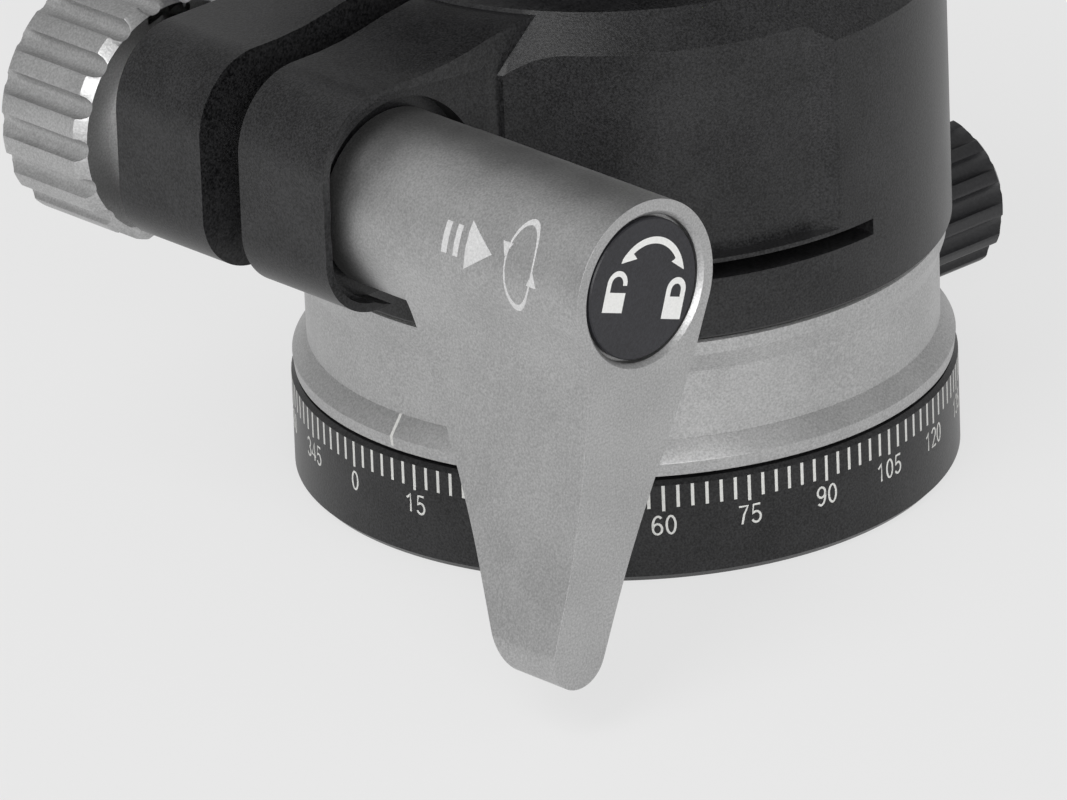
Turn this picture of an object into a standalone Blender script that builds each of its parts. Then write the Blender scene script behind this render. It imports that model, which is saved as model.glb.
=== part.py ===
"""Ball head with a graduated panning base, a split collar, a ratchet clamping lever and a dovetail clamp.

Metres, +Z up. The origin is the centre of the base's underside, where the tripod's stud enters.
The collar's two ears point to -X, and the lever hangs on the -Y side of them.
"""
import math

import bmesh
import bpy
from mathutils import Matrix, Vector

# Counts of facets: large turned pieces, small turned pieces, bores and screws
LARGE_STEPS = 48
MEDIUM_STEPS = 28
SMALL_STEPS = 12
CORNER_STEPS = 4
FLUTE_STEPS = 2
SOCKET_SIDES = 6

# Clearance between two pieces that touch on the real head, and how far a cutter overruns
GAP = 0.0003
OVERRUN = 0.0040

# Points this close are one point, and edges sharper than this angle stay sharp
MERGE_DISTANCE = 0.000001
SHARP_ANGLE = math.radians(35)

# Graduated base with its central hub
BASE_RADIUS = 0.0300
BASE_HEIGHT = 0.0096
BASE_TOP_CHAMFER = 0.0004
BASE_FOOT_CHAMFER = 0.0006
WASHER_SEAT_RIM = 0.0050
WASHER_SEAT_DEPTH = 0.0010
HUB_RISE = 0.0010

# Threaded bush for the tripod stud
BUSH_RADIUS = 0.0067
BUSH_THREAD_RADIUS = 0.0046
BUSH_LENGTH = 0.0074
BUSH_CHAMFER = 0.0005

# Slip washers
PAN_WASHER_THICKNESS = 0.0008
PAN_WASHER_PLAY = 0.0017
TOP_WASHER_THICKNESS = 0.0007

# Plate and screw that keep the index ring on the hub
HUB_PLATE_RIM = 0.0048
HUB_PLATE_PLAY = 0.0008
HUB_PLATE_THICKNESS = 0.0015
HUB_SCREW_RADIUS = 0.0024
HUB_SCREW_HEAD_RADIUS = 0.0041
HUB_SCREW_LENGTH = 0.0080

# Silver index ring: how far its outer steps stand in from the base's edge, and their heights
RING_LIFT = 0.0004
RING_HEIGHT = 0.0124
RING_FLOOR = 0.0050
RING_FOOT_INSET = 0.0003
RING_LIP_INSET = 0.00015
RING_LIP_HEIGHT = 0.0013
RING_CREASE_INSET = 0.0015
RING_CREASE_HEIGHT = 0.00295
RING_NECK_INSET = 0.00145
RING_NECK_HEIGHT = 0.0092
RING_FLANGE_INSET = 0.0008
RING_FLANGE_HEIGHT = 0.0110
RING_FLANGE_EDGE = 0.0002

# Ball, its neck, the cup under it and the wave spring under the cup
BALL_CLEARANCE = 0.0010
NECK_RADIUS = 0.0070
NECK_FLANGE_RADIUS = 0.0100
NECK_FLANGE_THICKNESS = 0.0022
NECK_LENGTH = 0.0100
NECK_BORE_DEPTH = 0.0120
CUP_HEIGHT = 0.0090
SPRING_ROOM = 0.0035
SPRING_INSET = 0.0004
SPRING_WIDTH = 0.0030
SPRING_STRIP = 0.0005
SPRING_WAVES = 3
SPRING_STEPS = 48

# Split collar: its wall outside the ball, the cone at its top and the mouth that keeps the ball in
COLLAR_INSET = 0.0002
COLLAR_WALL = 0.0085
COLLAR_EDGE = 0.0003
COLLAR_CONE_HEIGHT = 0.0045
COLLAR_CONE_INSET = 0.0046
COLLAR_MOUTH_LIP = 0.0034
COLLAR_MOUTH_FLARE = 0.0010
COLLAR_MOUTH_LAND = 0.0007
SAW_SLOT_RISE = 0.0056
SAW_SLOT_HEIGHT = 0.0015
SAW_SLOT_END = 0.00275
SLIT_WIDTH = 0.0050

# Ears
EAR_NOSE = 0.0099
EAR_THICKNESS = 0.0108
EAR_LIFT = 0.0008
EAR_DROP = 0.0018
EAR_TOP_CORNER = 0.0069
EAR_BOTTOM_CORNER = 0.0060
# The turned top of the ears: how far outside the collar and its cone it starts and ends, how high it rises,
# and the shares of that run and of that rise at its points
EAR_SWEEP_REACH = 0.0082
EAR_SWEEP_INSET = 0.0010
EAR_RISE = 0.0016
EAR_SWEEP_SHARES = ((1.0, 0.0), (0.746, 0.125), (0.534, 0.375), (0.322, 0.688), (0.0, 1.0))

# Scoops milled into the collar beside the ears
SCOOP_DEPTH = 0.0016
SCOOP_LIFT = 0.0004
SCOOP_FILLET = 0.0150
SCOOP_END_ANGLE = math.radians(-90.7)
SCOOP_RAMP_ANGLE = math.radians(7.5)
SCOOP_REACH = 0.0220
# Where the scoop becomes a pocket in the ear: its depth, the rim left round it, and its upper edge, which
# falls towards the collar and lifts again to pass clear of the shoulder, as shares of its run and of the rise
POCKET_DEPTH = 0.0015
POCKET_RIM = 0.0008
POCKET_TOP_SHARES = ((0.993, 0.25), (0.164, 1.0), (0.0, 0.125))

# Clamp bolt, on the line through both ears, at a share of their height
BOLT_REACH = 0.0080
BOLT_HEIGHT_SHARE = 0.443
BOLT_RADIUS = 0.0030
BOLT_FLANGE_RADIUS = 0.0055
BOLT_FLANGE_THICKNESS = 0.0019
BOLT_SPIGOT_RADIUS = 0.0040
BOLT_SPIGOT_REACH = 0.0065
BOLT_FAR_GRIP = 0.0123
COUNTERBORE_PLAY = 0.0011
COUNTERBORE_DEPTH = 0.0031
EAR_WASHER_RADIUS = 0.0064
EAR_WASHER_THICKNESS = 0.0008

# Toothed sleeve on the bolt, and the shares of a tooth's pitch at its feet and at its shoulders
SPLINE_TEETH = 14
SPLINE_TIP_RADIUS = 0.0064
SPLINE_ROOT_RADIUS = 0.0056
SPLINE_FOOT_SHARE = 0.34
SPLINE_SHOULDER_SHARE = 0.20
SLEEVE_LENGTH = 0.0097

# Screw and spring that hold the lever on the bolt
LEVER_SCREW_RADIUS = 0.0018
LEVER_SCREW_HEAD_RADIUS = 0.0045
LEVER_SCREW_HEAD_THICKNESS = 0.0014
LEVER_SCREW_GRIP = 0.0076
LEVER_SPRING_RADIUS = 0.0034
LEVER_SPRING_WIRE = 0.0007
LEVER_SPRING_TURNS = 4
LEVER_SPRING_TURN_POINTS = 9

# Ratchet lever
LEVER_HUB_RADIUS = 0.0081
LEVER_FACE_PLAY = 0.0009
LEVER_LENGTH = 0.0319
LEVER_BARREL_LENGTH = 0.0075
LEVER_TIP_RADIUS = 0.0031
LEVER_TIP_DISTANCE = 0.0327
LEVER_TILT = math.radians(16.5)
LEVER_TIP_ARC = (math.radians(188), math.radians(352))
LEVER_HEAD_ARC = (math.radians(-28), math.radians(208))
LEVER_WAIST_DISTANCE = 0.0125
LEVER_WAIST_HALF = 0.0056
LEVER_TAPER_START = 0.0062
LEVER_TAPER_END = 0.0325
LEVER_TAPER_STEP = 0.0013
LEVER_TAPER_DEPTH = 0.0151
LEVER_TEETH_ENGAGED = 0.0035
LEVER_TEETH_LENGTH = 0.0040
LEVER_WEB_THICKNESS = 0.0020
LEVER_SEAM = 0.00005
LEVER_BARREL_OVERLAP = 0.0060

# Badge in the lever's head
BADGE_RADIUS = 0.00635
BADGE_THICKNESS = 0.0006
BADGE_SEAT_DEPTH = 0.0012

# Knob behind the far ear, with its nut
FRICTION_KNOB_RADIUS = 0.0115
FRICTION_KNOB_COLLAR_RADIUS = 0.0080
FRICTION_KNOB_COLLAR_LENGTH = 0.0034
FRICTION_KNOB_LENGTH = 0.0145
FRICTION_KNOB_FLUTES = 18
FRICTION_KNOB_FLUTE_RADIUS = 0.0011
KNOB_NUT_RADIUS = 0.0050
KNOB_NUT_LENGTH = 0.0080
FAR_WASHER_RADIUS = 0.0060
FAR_WASHER_THICKNESS = 0.0008

# The land between two flutes of any knob starts at this share of a flute's half angle
FLUTE_LAND_SHARE = 1.2

# Screws that hold the index ring to the collar
RING_SCREW_COUNT = 4
RING_SCREW_INSET = 0.0042
RING_SCREW_RADIUS = 0.0014
RING_SCREW_HEAD_RADIUS = 0.0024
RING_SCREW_HEAD_HEIGHT = 0.0020
RING_SCREW_REACH = 0.0040

# Pan lock, opposite the ears
PAN_LOCK_RADIUS = 0.0015
PAN_SHOE_LENGTH = 0.0040
PAN_KNOB_RADIUS = 0.0072
PAN_KNOB_LENGTH = 0.0120
PAN_KNOB_COLLAR_RADIUS = 0.0045
PAN_KNOB_COLLAR_LENGTH = 0.0020
PAN_KNOB_FLUTES = 14
PAN_KNOB_FLUTE_RADIUS = 0.0010
PAN_SCREW_GRIP = 0.0070

# Dovetail clamp on the neck
CLAMP_LENGTH = 0.0500
CLAMP_BODY_HEIGHT = 0.0072
CLAMP_FIXED_WALL = 0.0050
JAW_WALL = 0.0080
JAW_HEIGHT = 0.0032
DOVETAIL_HALF = 0.0190
DOVETAIL_SLOPE = 0.0018
DOVETAIL_LIP = 0.0006
CLAMP_CORNER = 0.0060
STEM_SCREW_RADIUS = 0.0029
STEM_SCREW_HEAD_RADIUS = 0.0050
STEM_SCREW_HEAD_HEIGHT = 0.0042
STEM_SOCKET_RADIUS = 0.0027
STEM_SOCKET_DEPTH = 0.0025
CLAMP_SCREW_HEIGHT = 0.0034
CLAMP_SCREW_RADIUS = 0.0024
CLAMP_SCREW_GRIP = 0.0110
GUIDE_PIN_RADIUS = 0.0014
GUIDE_PIN_OFFSET = 0.0170
GUIDE_PIN_GRIP = 0.0090
CLAMP_KNOB_RADIUS = 0.0085
CLAMP_KNOB_LENGTH = 0.0130
CLAMP_KNOB_FLUTES = 16
CLAMP_KNOB_FLUTE_RADIUS = 0.0011
CLAMP_KNOB_GRIP = 0.0090
VIAL_RADIUS = 0.0021
VIAL_LENGTH = 0.0130

# Camera plate, its pad and its screws
PLATE_DECK_OVERHANG = 0.0005
PLATE_DECK_THICKNESS = 0.0042
PLATE_NECK_INSET = 0.0025
PLATE_NECK_HEIGHT = 0.0036
PLATE_CORNER = 0.0030
PAD_MARGIN = 0.0022
PAD_RECESS = 0.0006
PAD_THICKNESS = 0.0012
PAD_RIB_COUNT = 9
PAD_RIB_HEIGHT = 0.0004
PAD_GROOVE_SHARE = 1 / 3
CAMERA_SCREW_RADIUS = 0.0031
CAMERA_SCREW_HEAD_RADIUS = 0.0068
CAMERA_SCREW_HEAD_HEIGHT = 0.0024
CAMERA_SCREW_REACH = 0.0052
COIN_SLOT_WIDTH = 0.0014
COIN_SLOT_DEPTH = 0.0012
CLIP_RADIUS = 0.0048
CLIP_THICKNESS = 0.0006
STOP_SCREW_RADIUS = 0.0014
STOP_SCREW_OFFSET = 0.0130
STOP_SCREW_INSET = 0.0080
STOP_SCREW_DROP = 0.0014
STOP_SCREW_GRIP = 0.0030
STOP_GROOVE_DEPTH = 0.0020
PLATE_TRAVEL = 0.0050

# Radii that follow from the base's: ring, collar, ball and what lies inside the ball's cup
RING_FOOT_RADIUS = BASE_RADIUS - RING_FOOT_INSET
RING_LIP_RADIUS = BASE_RADIUS - RING_LIP_INSET
RING_CREASE_RADIUS = BASE_RADIUS - RING_CREASE_INSET
RING_NECK_RADIUS = BASE_RADIUS - RING_NECK_INSET
RING_FLANGE_RADIUS = BASE_RADIUS - RING_FLANGE_INSET
COLLAR_RADIUS = BASE_RADIUS - COLLAR_INSET
COLLAR_TOP_RADIUS = COLLAR_RADIUS - COLLAR_CONE_INSET
CAVITY_RADIUS = COLLAR_RADIUS - COLLAR_WALL
BALL_RADIUS = CAVITY_RADIUS - GAP
COLLAR_MOUTH_RADIUS = BALL_RADIUS - COLLAR_MOUTH_LIP
CUP_RADIUS = CAVITY_RADIUS - GAP
CUP_BORE = BALL_RADIUS / 2
SPRING_OUTER_RADIUS = CUP_RADIUS - SPRING_INSET
SPRING_INNER_RADIUS = SPRING_OUTER_RADIUS - SPRING_WIDTH
HUB_PLATE_RADIUS = SPRING_INNER_RADIUS - HUB_PLATE_PLAY
HUB_RADIUS = HUB_PLATE_RADIUS - HUB_PLATE_RIM
HUB_SCREW_HOLE = HUB_SCREW_RADIUS + GAP
BUSH_HOLE = BUSH_RADIUS + GAP
WASHER_SEAT_RADIUS = BASE_RADIUS - WASHER_SEAT_RIM
RING_SCREW_CIRCLE = COLLAR_RADIUS - RING_SCREW_INSET
SCOOP_RADIUS = COLLAR_RADIUS - SCOOP_DEPTH

# Heights, from the base upwards
BUSH_TOP = GAP + BUSH_LENGTH
RING_BOTTOM = BASE_HEIGHT + RING_LIFT
RING_FLOOR_TOP = RING_BOTTOM + RING_FLOOR
RING_TOP = RING_BOTTOM + RING_HEIGHT
PAN_LOCK_HEIGHT = RING_BOTTOM + RING_FLOOR / 2
HUB_TOP = RING_FLOOR_TOP + HUB_RISE
HUB_PLATE_BOTTOM = HUB_TOP + GAP
HUB_PLATE_TOP = HUB_PLATE_BOTTOM + HUB_PLATE_THICKNESS
CUP_BOTTOM = RING_FLOOR_TOP + SPRING_ROOM
CUP_TOP = CUP_BOTTOM + CUP_HEIGHT
BALL_CENTRE = HUB_PLATE_TOP + BALL_CLEARANCE + BALL_RADIUS
COLLAR_BOTTOM = RING_TOP + GAP
COLLAR_TOP = BALL_CENTRE + math.sqrt(CAVITY_RADIUS**2 - COLLAR_MOUTH_RADIUS**2) + COLLAR_MOUTH_LAND
COLLAR_SHOULDER = COLLAR_TOP - COLLAR_CONE_HEIGHT
SAW_SLOT_BOTTOM = COLLAR_BOTTOM + SAW_SLOT_RISE
SAW_SLOT_TOP = SAW_SLOT_BOTTOM + SAW_SLOT_HEIGHT
SCOOP_FLOOR = SAW_SLOT_TOP + SCOOP_LIFT
EAR_BOTTOM = SAW_SLOT_TOP + EAR_LIFT
EAR_TOP = COLLAR_TOP - EAR_DROP
BOLT_Z = EAR_BOTTOM + BOLT_HEIGHT_SHARE * (EAR_TOP - EAR_BOTTOM)
NECK_TOP = BALL_CENTRE + BALL_RADIUS + NECK_LENGTH
CLAMP_BOTTOM = NECK_TOP + GAP
CLAMP_FLOOR = CLAMP_BOTTOM + CLAMP_BODY_HEIGHT
CLAMP_TOP = CLAMP_FLOOR + JAW_HEIGHT
CLAMP_AXIS = CLAMP_BOTTOM + CLAMP_SCREW_HEIGHT
PLATE_BOTTOM = CLAMP_FLOOR + GAP
PLATE_DECK_BOTTOM = PLATE_BOTTOM + PLATE_NECK_HEIGHT
PLATE_TOP = PLATE_DECK_BOTTOM + PLATE_DECK_THICKNESS
PAD_FLOOR = PLATE_TOP - PAD_RECESS
PAD_TOP = PAD_FLOOR + GAP + PAD_THICKNESS

# Places along X: ears, bolt and pan lock, and the plate, which is as long as its clamp
BOLT_X = -COLLAR_RADIUS - BOLT_REACH
EAR_END = BOLT_X - EAR_NOSE
EAR_ROOT = -CAVITY_RADIUS - GAP
EAR_SWEEP_START = COLLAR_RADIUS + EAR_SWEEP_REACH
EAR_SWEEP_END = COLLAR_TOP_RADIUS + EAR_SWEEP_INSET
PAN_KNOB_START = RING_LIP_RADIUS + GAP
PLATE_LENGTH = CLAMP_LENGTH

# Places along Y: outwards from the slit through ears, bolt and lever, then the far knob and the clamp
EAR_FACE = SLIT_WIDTH / 2 + EAR_THICKNESS
POCKET_FLOOR = EAR_FACE - POCKET_DEPTH
COUNTERBORE_RADIUS = LEVER_HUB_RADIUS + COUNTERBORE_PLAY
COUNTERBORE_FLOOR = COUNTERBORE_DEPTH - EAR_FACE
BOLT_HOLE = BOLT_RADIUS + GAP
BOLT_FLANGE_FACE = COUNTERBORE_FLOOR - GAP - EAR_WASHER_THICKNESS - GAP
SLEEVE_START = BOLT_FLANGE_FACE - BOLT_FLANGE_THICKNESS - GAP
SLEEVE_END = SLEEVE_START - SLEEVE_LENGTH
BOLT_SPIGOT_END = SLEEVE_END - BOLT_SPIGOT_REACH
LEVER_INNER_FACE = COUNTERBORE_FLOOR - LEVER_FACE_PLAY
LEVER_OUTER_FACE = LEVER_INNER_FACE - LEVER_LENGTH
LEVER_ARM_FACE = LEVER_INNER_FACE - LEVER_BARREL_LENGTH
LEVER_TAPER_INNER = LEVER_ARM_FACE - LEVER_TAPER_STEP
LEVER_TEETH_START = SLEEVE_END + LEVER_TEETH_ENGAGED
LEVER_WEB_START = BOLT_SPIGOT_END - GAP
LEVER_WEB_END = LEVER_WEB_START - LEVER_WEB_THICKNESS
BADGE_SEAT = LEVER_OUTER_FACE + BADGE_SEAT_DEPTH
LEVER_SCREW_HEAD_END = BADGE_SEAT + GAP
LEVER_SCREW_HEAD_START = LEVER_SCREW_HEAD_END + LEVER_SCREW_HEAD_THICKNESS
FAR_KNOB_START = POCKET_FLOOR + GAP + FAR_WASHER_THICKNESS + GAP
FAR_KNOB_END = FAR_KNOB_START + FRICTION_KNOB_LENGTH
BOLT_FAR_END = FAR_KNOB_START + BOLT_FAR_GRIP
CLAMP_FIXED_SIDE = -DOVETAIL_HALF - CLAMP_FIXED_WALL
JAW_SIDE = DOVETAIL_HALF + JAW_WALL
CLAMP_SCREW_INNER = DOVETAIL_HALF - CLAMP_SCREW_GRIP
GUIDE_PIN_INNER = DOVETAIL_HALF - GUIDE_PIN_GRIP
PLATE_NECK_HALF = DOVETAIL_HALF - PLATE_NECK_INSET
PLATE_DECK_HALF = DOVETAIL_HALF + PLATE_DECK_OVERHANG
STOP_SCREW_ROW = STOP_SCREW_INSET - DOVETAIL_HALF

# Colours, roughness and metallic value of each finish
FINISHES = {
    "black_anodised": ((0.030, 0.030, 0.032), 0.55, 0.6),
    "silver_anodised": ((0.36, 0.36, 0.37), 0.42, 0.9),
    "bright_steel": ((0.55, 0.55, 0.56), 0.25, 1.0),
    "brass": ((0.60, 0.43, 0.16), 0.30, 1.0),
    "white_plastic": ((0.80, 0.80, 0.78), 0.50, 0.0),
    "black_plastic": ((0.020, 0.020, 0.020), 0.45, 0.0),
    "black_rubber": ((0.025, 0.025, 0.025), 0.85, 0.0),
    "level_glass": ((0.55, 0.80, 0.30), 0.05, 0.0),
}


def clear_scene():
    for item in list(bpy.data.objects):
        bpy.data.objects.remove(item, do_unlink=True)


def new_collection(name):
    collection = bpy.data.collections.new(name)
    bpy.context.scene.collection.children.link(collection)
    return collection


def material(finish):
    found = bpy.data.materials.get(finish)
    if found:
        return found
    colour, roughness, metallic = FINISHES[finish]
    made = bpy.data.materials.new(finish)
    made.use_nodes = True
    shader = made.node_tree.nodes["Principled BSDF"]
    shader.inputs["Base Color"].default_value = (*colour, 1.0)
    shader.inputs["Roughness"].default_value = roughness
    shader.inputs["Metallic"].default_value = metallic
    return made


def place(item, finish, turn=None, at=(0.0, 0.0, 0.0)):
    """Links a piece, or a cutter when no finish is given, and puts it where it belongs."""
    if finish:
        PARTS.objects.link(item)
        item.data.materials.append(material(finish))
    else:
        CUTTERS.objects.link(item)
        item.hide_render = True
        item.display_type = "WIRE"
    item.matrix_world = Matrix.Translation(Vector(at)) @ (turn or Matrix.Identity(4))
    return item


# Local +Z of a turned or extruded shape laid along +X or +Y
ALONG_X = Matrix.Rotation(math.radians(90), 4, "Y")
ALONG_Y = Matrix.Rotation(math.radians(-90), 4, "X")
# Local X and Y of an outline stood up as world X and Z, its depth along -Y
UPRIGHT = Matrix.Rotation(math.radians(90), 4, "X")
# Local X and Y of an outline stood up as world Y and Z, its depth along +X
CROSSWISE = Matrix.Rotation(math.radians(90), 4, "Z") @ Matrix.Rotation(math.radians(90), 4, "X")


def turned(name, profile, finish=None, steps=MEDIUM_STEPS, turn=None, at=(0.0, 0.0, 0.0)):
    """A lathe shape. Its profile runs down the outside and up the bore, or starts and ends on the axis."""
    mesh = bpy.data.meshes.new(name)
    count = len(profile)
    solid = profile[0][0] == 0 and profile[-1][0] == 0
    edges = [(i, i + 1) for i in range(count - 1)]
    if not solid:
        edges.append((count - 1, 0))
    mesh.from_pydata([(radius, 0.0, height) for radius, height in profile], edges, [])
    item = bpy.data.objects.new(name, mesh)
    screw = item.modifiers.new("Turn", "SCREW")
    screw.steps = steps
    screw.render_steps = steps
    screw.use_merge_vertices = True
    screw.merge_threshold = MERGE_DISTANCE
    return place(item, finish, turn, at)


def disc(radius, low, high):
    return [(0.0, high), (radius, high), (radius, low), (0.0, low)]


def washer(outer, bore, low, high):
    return [(bore, high), (outer, high), (outer, low), (bore, low)]


def extruded(name, outlines, depth, finish=None, turn=None, at=(0.0, 0.0, 0.0)):
    """A flat outline, with any holes after it, thickened both ways about its own plane and made a mesh."""
    curve = bpy.data.curves.new(name, "CURVE")
    curve.dimensions = "2D"
    curve.fill_mode = "BOTH"
    curve.extrude = depth / 2
    for outline in outlines:
        spline = curve.splines.new("POLY")
        spline.points.add(len(outline) - 1)
        for point, (x, y) in zip(spline.points, outline):
            point.co = (x, y, 0.0, 1.0)
        spline.use_cyclic_u = True
    drawn = bpy.data.objects.new(name + "_outline", curve)
    bpy.context.scene.collection.objects.link(drawn)
    return meshed(drawn, name, finish, turn, at)


def meshed(drawn, name, finish, turn=None, at=(0.0, 0.0, 0.0)):
    """Turns a curve object into a closed mesh object and removes the curve."""
    bpy.context.view_layer.update()
    evaluated = drawn.evaluated_get(bpy.context.evaluated_depsgraph_get())
    mesh = bpy.data.meshes.new_from_object(evaluated)
    mesh.name = name
    mesh.materials.clear()
    shape = bmesh.new()
    shape.from_mesh(mesh)
    bmesh.ops.remove_doubles(shape, verts=shape.verts, dist=MERGE_DISTANCE)
    bmesh.ops.recalc_face_normals(shape, faces=shape.faces)
    shape.to_mesh(mesh)
    shape.free()
    bpy.data.objects.remove(drawn, do_unlink=True)
    return place(bpy.data.objects.new(name, mesh), finish, turn, at)


def block(name, low, high, finish=None, turn=None):
    """A box between two corners."""
    mesh = bpy.data.meshes.new(name)
    shape = bmesh.new()
    size = Vector(high) - Vector(low)
    middle = (Vector(high) + Vector(low)) / 2
    bmesh.ops.create_cube(shape, size=1.0)
    bmesh.ops.scale(shape, vec=size, verts=shape.verts)
    bmesh.ops.translate(shape, vec=middle, verts=shape.verts)
    shape.to_mesh(mesh)
    shape.free()
    return place(bpy.data.objects.new(name, mesh), finish, turn)


def combine(item, other, operation="DIFFERENCE"):
    boolean = item.modifiers.new(operation.title(), "BOOLEAN")
    boolean.operation = operation
    boolean.object = other
    boolean.solver = "EXACT"


def arc(centre, radius, start, end, steps):
    """Points on an arc, ends included."""
    points = []
    for i in range(steps + 1):
        angle = start + (end - start) * i / steps
        points.append((centre[0] + radius * math.cos(angle), centre[1] + radius * math.sin(angle)))
    return points


def circle(radius, steps, centre=(0.0, 0.0)):
    return arc(centre, radius, 0.0, 2 * math.pi, steps)[:-1]


def rounded_box(low, high, corner):
    """Outline of a box with rounded corners, counter-clockwise."""
    quarter = math.pi / 2
    centres = (
        (high[0] - corner, high[1] - corner),
        (low[0] + corner, high[1] - corner),
        (low[0] + corner, low[1] + corner),
        (high[0] - corner, low[1] + corner),
    )
    points = []
    for index, centre in enumerate(centres):
        points += arc(centre, corner, index * quarter, (index + 1) * quarter, CORNER_STEPS)
    return points


def toothed(tip, root, teeth):
    """Outline of a ring of square-shouldered teeth."""
    points = []
    step = 2 * math.pi / teeth
    foot = SPLINE_FOOT_SHARE
    shoulder = SPLINE_SHOULDER_SHARE
    for tooth in range(teeth):
        middle = tooth * step
        for radius, share in ((root, -foot), (tip, -shoulder), (tip, shoulder), (root, foot)):
            angle = middle + share * step
            points.append((radius * math.cos(angle), radius * math.sin(angle)))
    return points


def fluted(radius, flute, count):
    """Outline of a round knob with a row of shallow flutes."""
    points = []
    step = 2 * math.pi / count
    half = 2 * math.asin(flute / (2 * radius))
    land = FLUTE_LAND_SHARE * half
    for index in range(count):
        middle = index * step
        centre = (radius * math.cos(middle), radius * math.sin(middle))
        first = middle - math.pi / 2 - half
        last = middle - 3 * math.pi / 2 + half
        points += arc(centre, flute, first, last, FLUTE_STEPS)
        points += arc((0.0, 0.0), radius, middle + land, middle + step - land, 1)
    return points


def make_base():
    seat = BASE_HEIGHT - WASHER_SEAT_DEPTH
    turned(
        "pan_base",
        [
            (HUB_SCREW_HOLE, HUB_TOP),
            (HUB_RADIUS, HUB_TOP),
            (HUB_RADIUS, seat),
            (WASHER_SEAT_RADIUS, seat),
            (WASHER_SEAT_RADIUS, BASE_HEIGHT),
            (BASE_RADIUS - BASE_TOP_CHAMFER, BASE_HEIGHT),
            (BASE_RADIUS, BASE_HEIGHT - BASE_TOP_CHAMFER),
            (BASE_RADIUS, BASE_FOOT_CHAMFER),
            (BASE_RADIUS - BASE_FOOT_CHAMFER, 0.0),
            (BUSH_HOLE, 0.0),
            (BUSH_HOLE, BUSH_TOP + GAP),
            (HUB_SCREW_HOLE, BUSH_TOP + GAP),
        ],
        "black_anodised",
        LARGE_STEPS,
    )
    turned(
        "tripod_bush",
        [
            (BUSH_THREAD_RADIUS, BUSH_TOP),
            (BUSH_RADIUS, BUSH_TOP),
            (BUSH_RADIUS, GAP),
            (BUSH_THREAD_RADIUS + BUSH_CHAMFER, GAP),
            (BUSH_THREAD_RADIUS, GAP + BUSH_CHAMFER),
        ],
        "bright_steel",
    )
    low = seat + GAP
    bore = HUB_RADIUS + PAN_WASHER_PLAY
    turned(
        "pan_washer",
        washer(WASHER_SEAT_RADIUS - GAP, bore, low, low + PAN_WASHER_THICKNESS),
        "white_plastic",
    )
    low = RING_FLOOR_TOP + GAP
    turned(
        "top_washer",
        washer(HUB_PLATE_RADIUS, HUB_RADIUS + GAP, low, low + TOP_WASHER_THICKNESS),
        "white_plastic",
    )
    plate = turned(
        "hub_plate",
        washer(HUB_PLATE_RADIUS, HUB_SCREW_HOLE, HUB_PLATE_BOTTOM, HUB_PLATE_TOP),
        "bright_steel",
    )
    sink = turned(
        "hub_plate_sink",
        [
            (0.0, HUB_PLATE_TOP + GAP),
            (HUB_SCREW_HEAD_RADIUS + GAP + GAP, HUB_PLATE_TOP + GAP),
            (HUB_SCREW_HEAD_RADIUS + GAP, HUB_PLATE_TOP),
            (0.0, HUB_PLATE_TOP - HUB_SCREW_HEAD_RADIUS - GAP),
        ],
    )
    combine(plate, sink)
    turned(
        "hub_screw",
        [
            (0.0, HUB_PLATE_TOP),
            (HUB_SCREW_HEAD_RADIUS, HUB_PLATE_TOP),
            (HUB_SCREW_RADIUS, HUB_PLATE_TOP - HUB_SCREW_HEAD_RADIUS + HUB_SCREW_RADIUS),
            (HUB_SCREW_RADIUS, HUB_PLATE_TOP - HUB_SCREW_LENGTH),
            (0.0, HUB_PLATE_TOP - HUB_SCREW_LENGTH),
        ],
        "bright_steel",
        SMALL_STEPS,
    )


def screw_places():
    """Centres of the screws that join ring and collar, clear of the ears and of the pan lock."""
    step = 2 * math.pi / RING_SCREW_COUNT
    for index in range(RING_SCREW_COUNT):
        angle = step / 2 + index * step
        yield index + 1, (RING_SCREW_CIRCLE * math.cos(angle), RING_SCREW_CIRCLE * math.sin(angle), 0.0)


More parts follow.
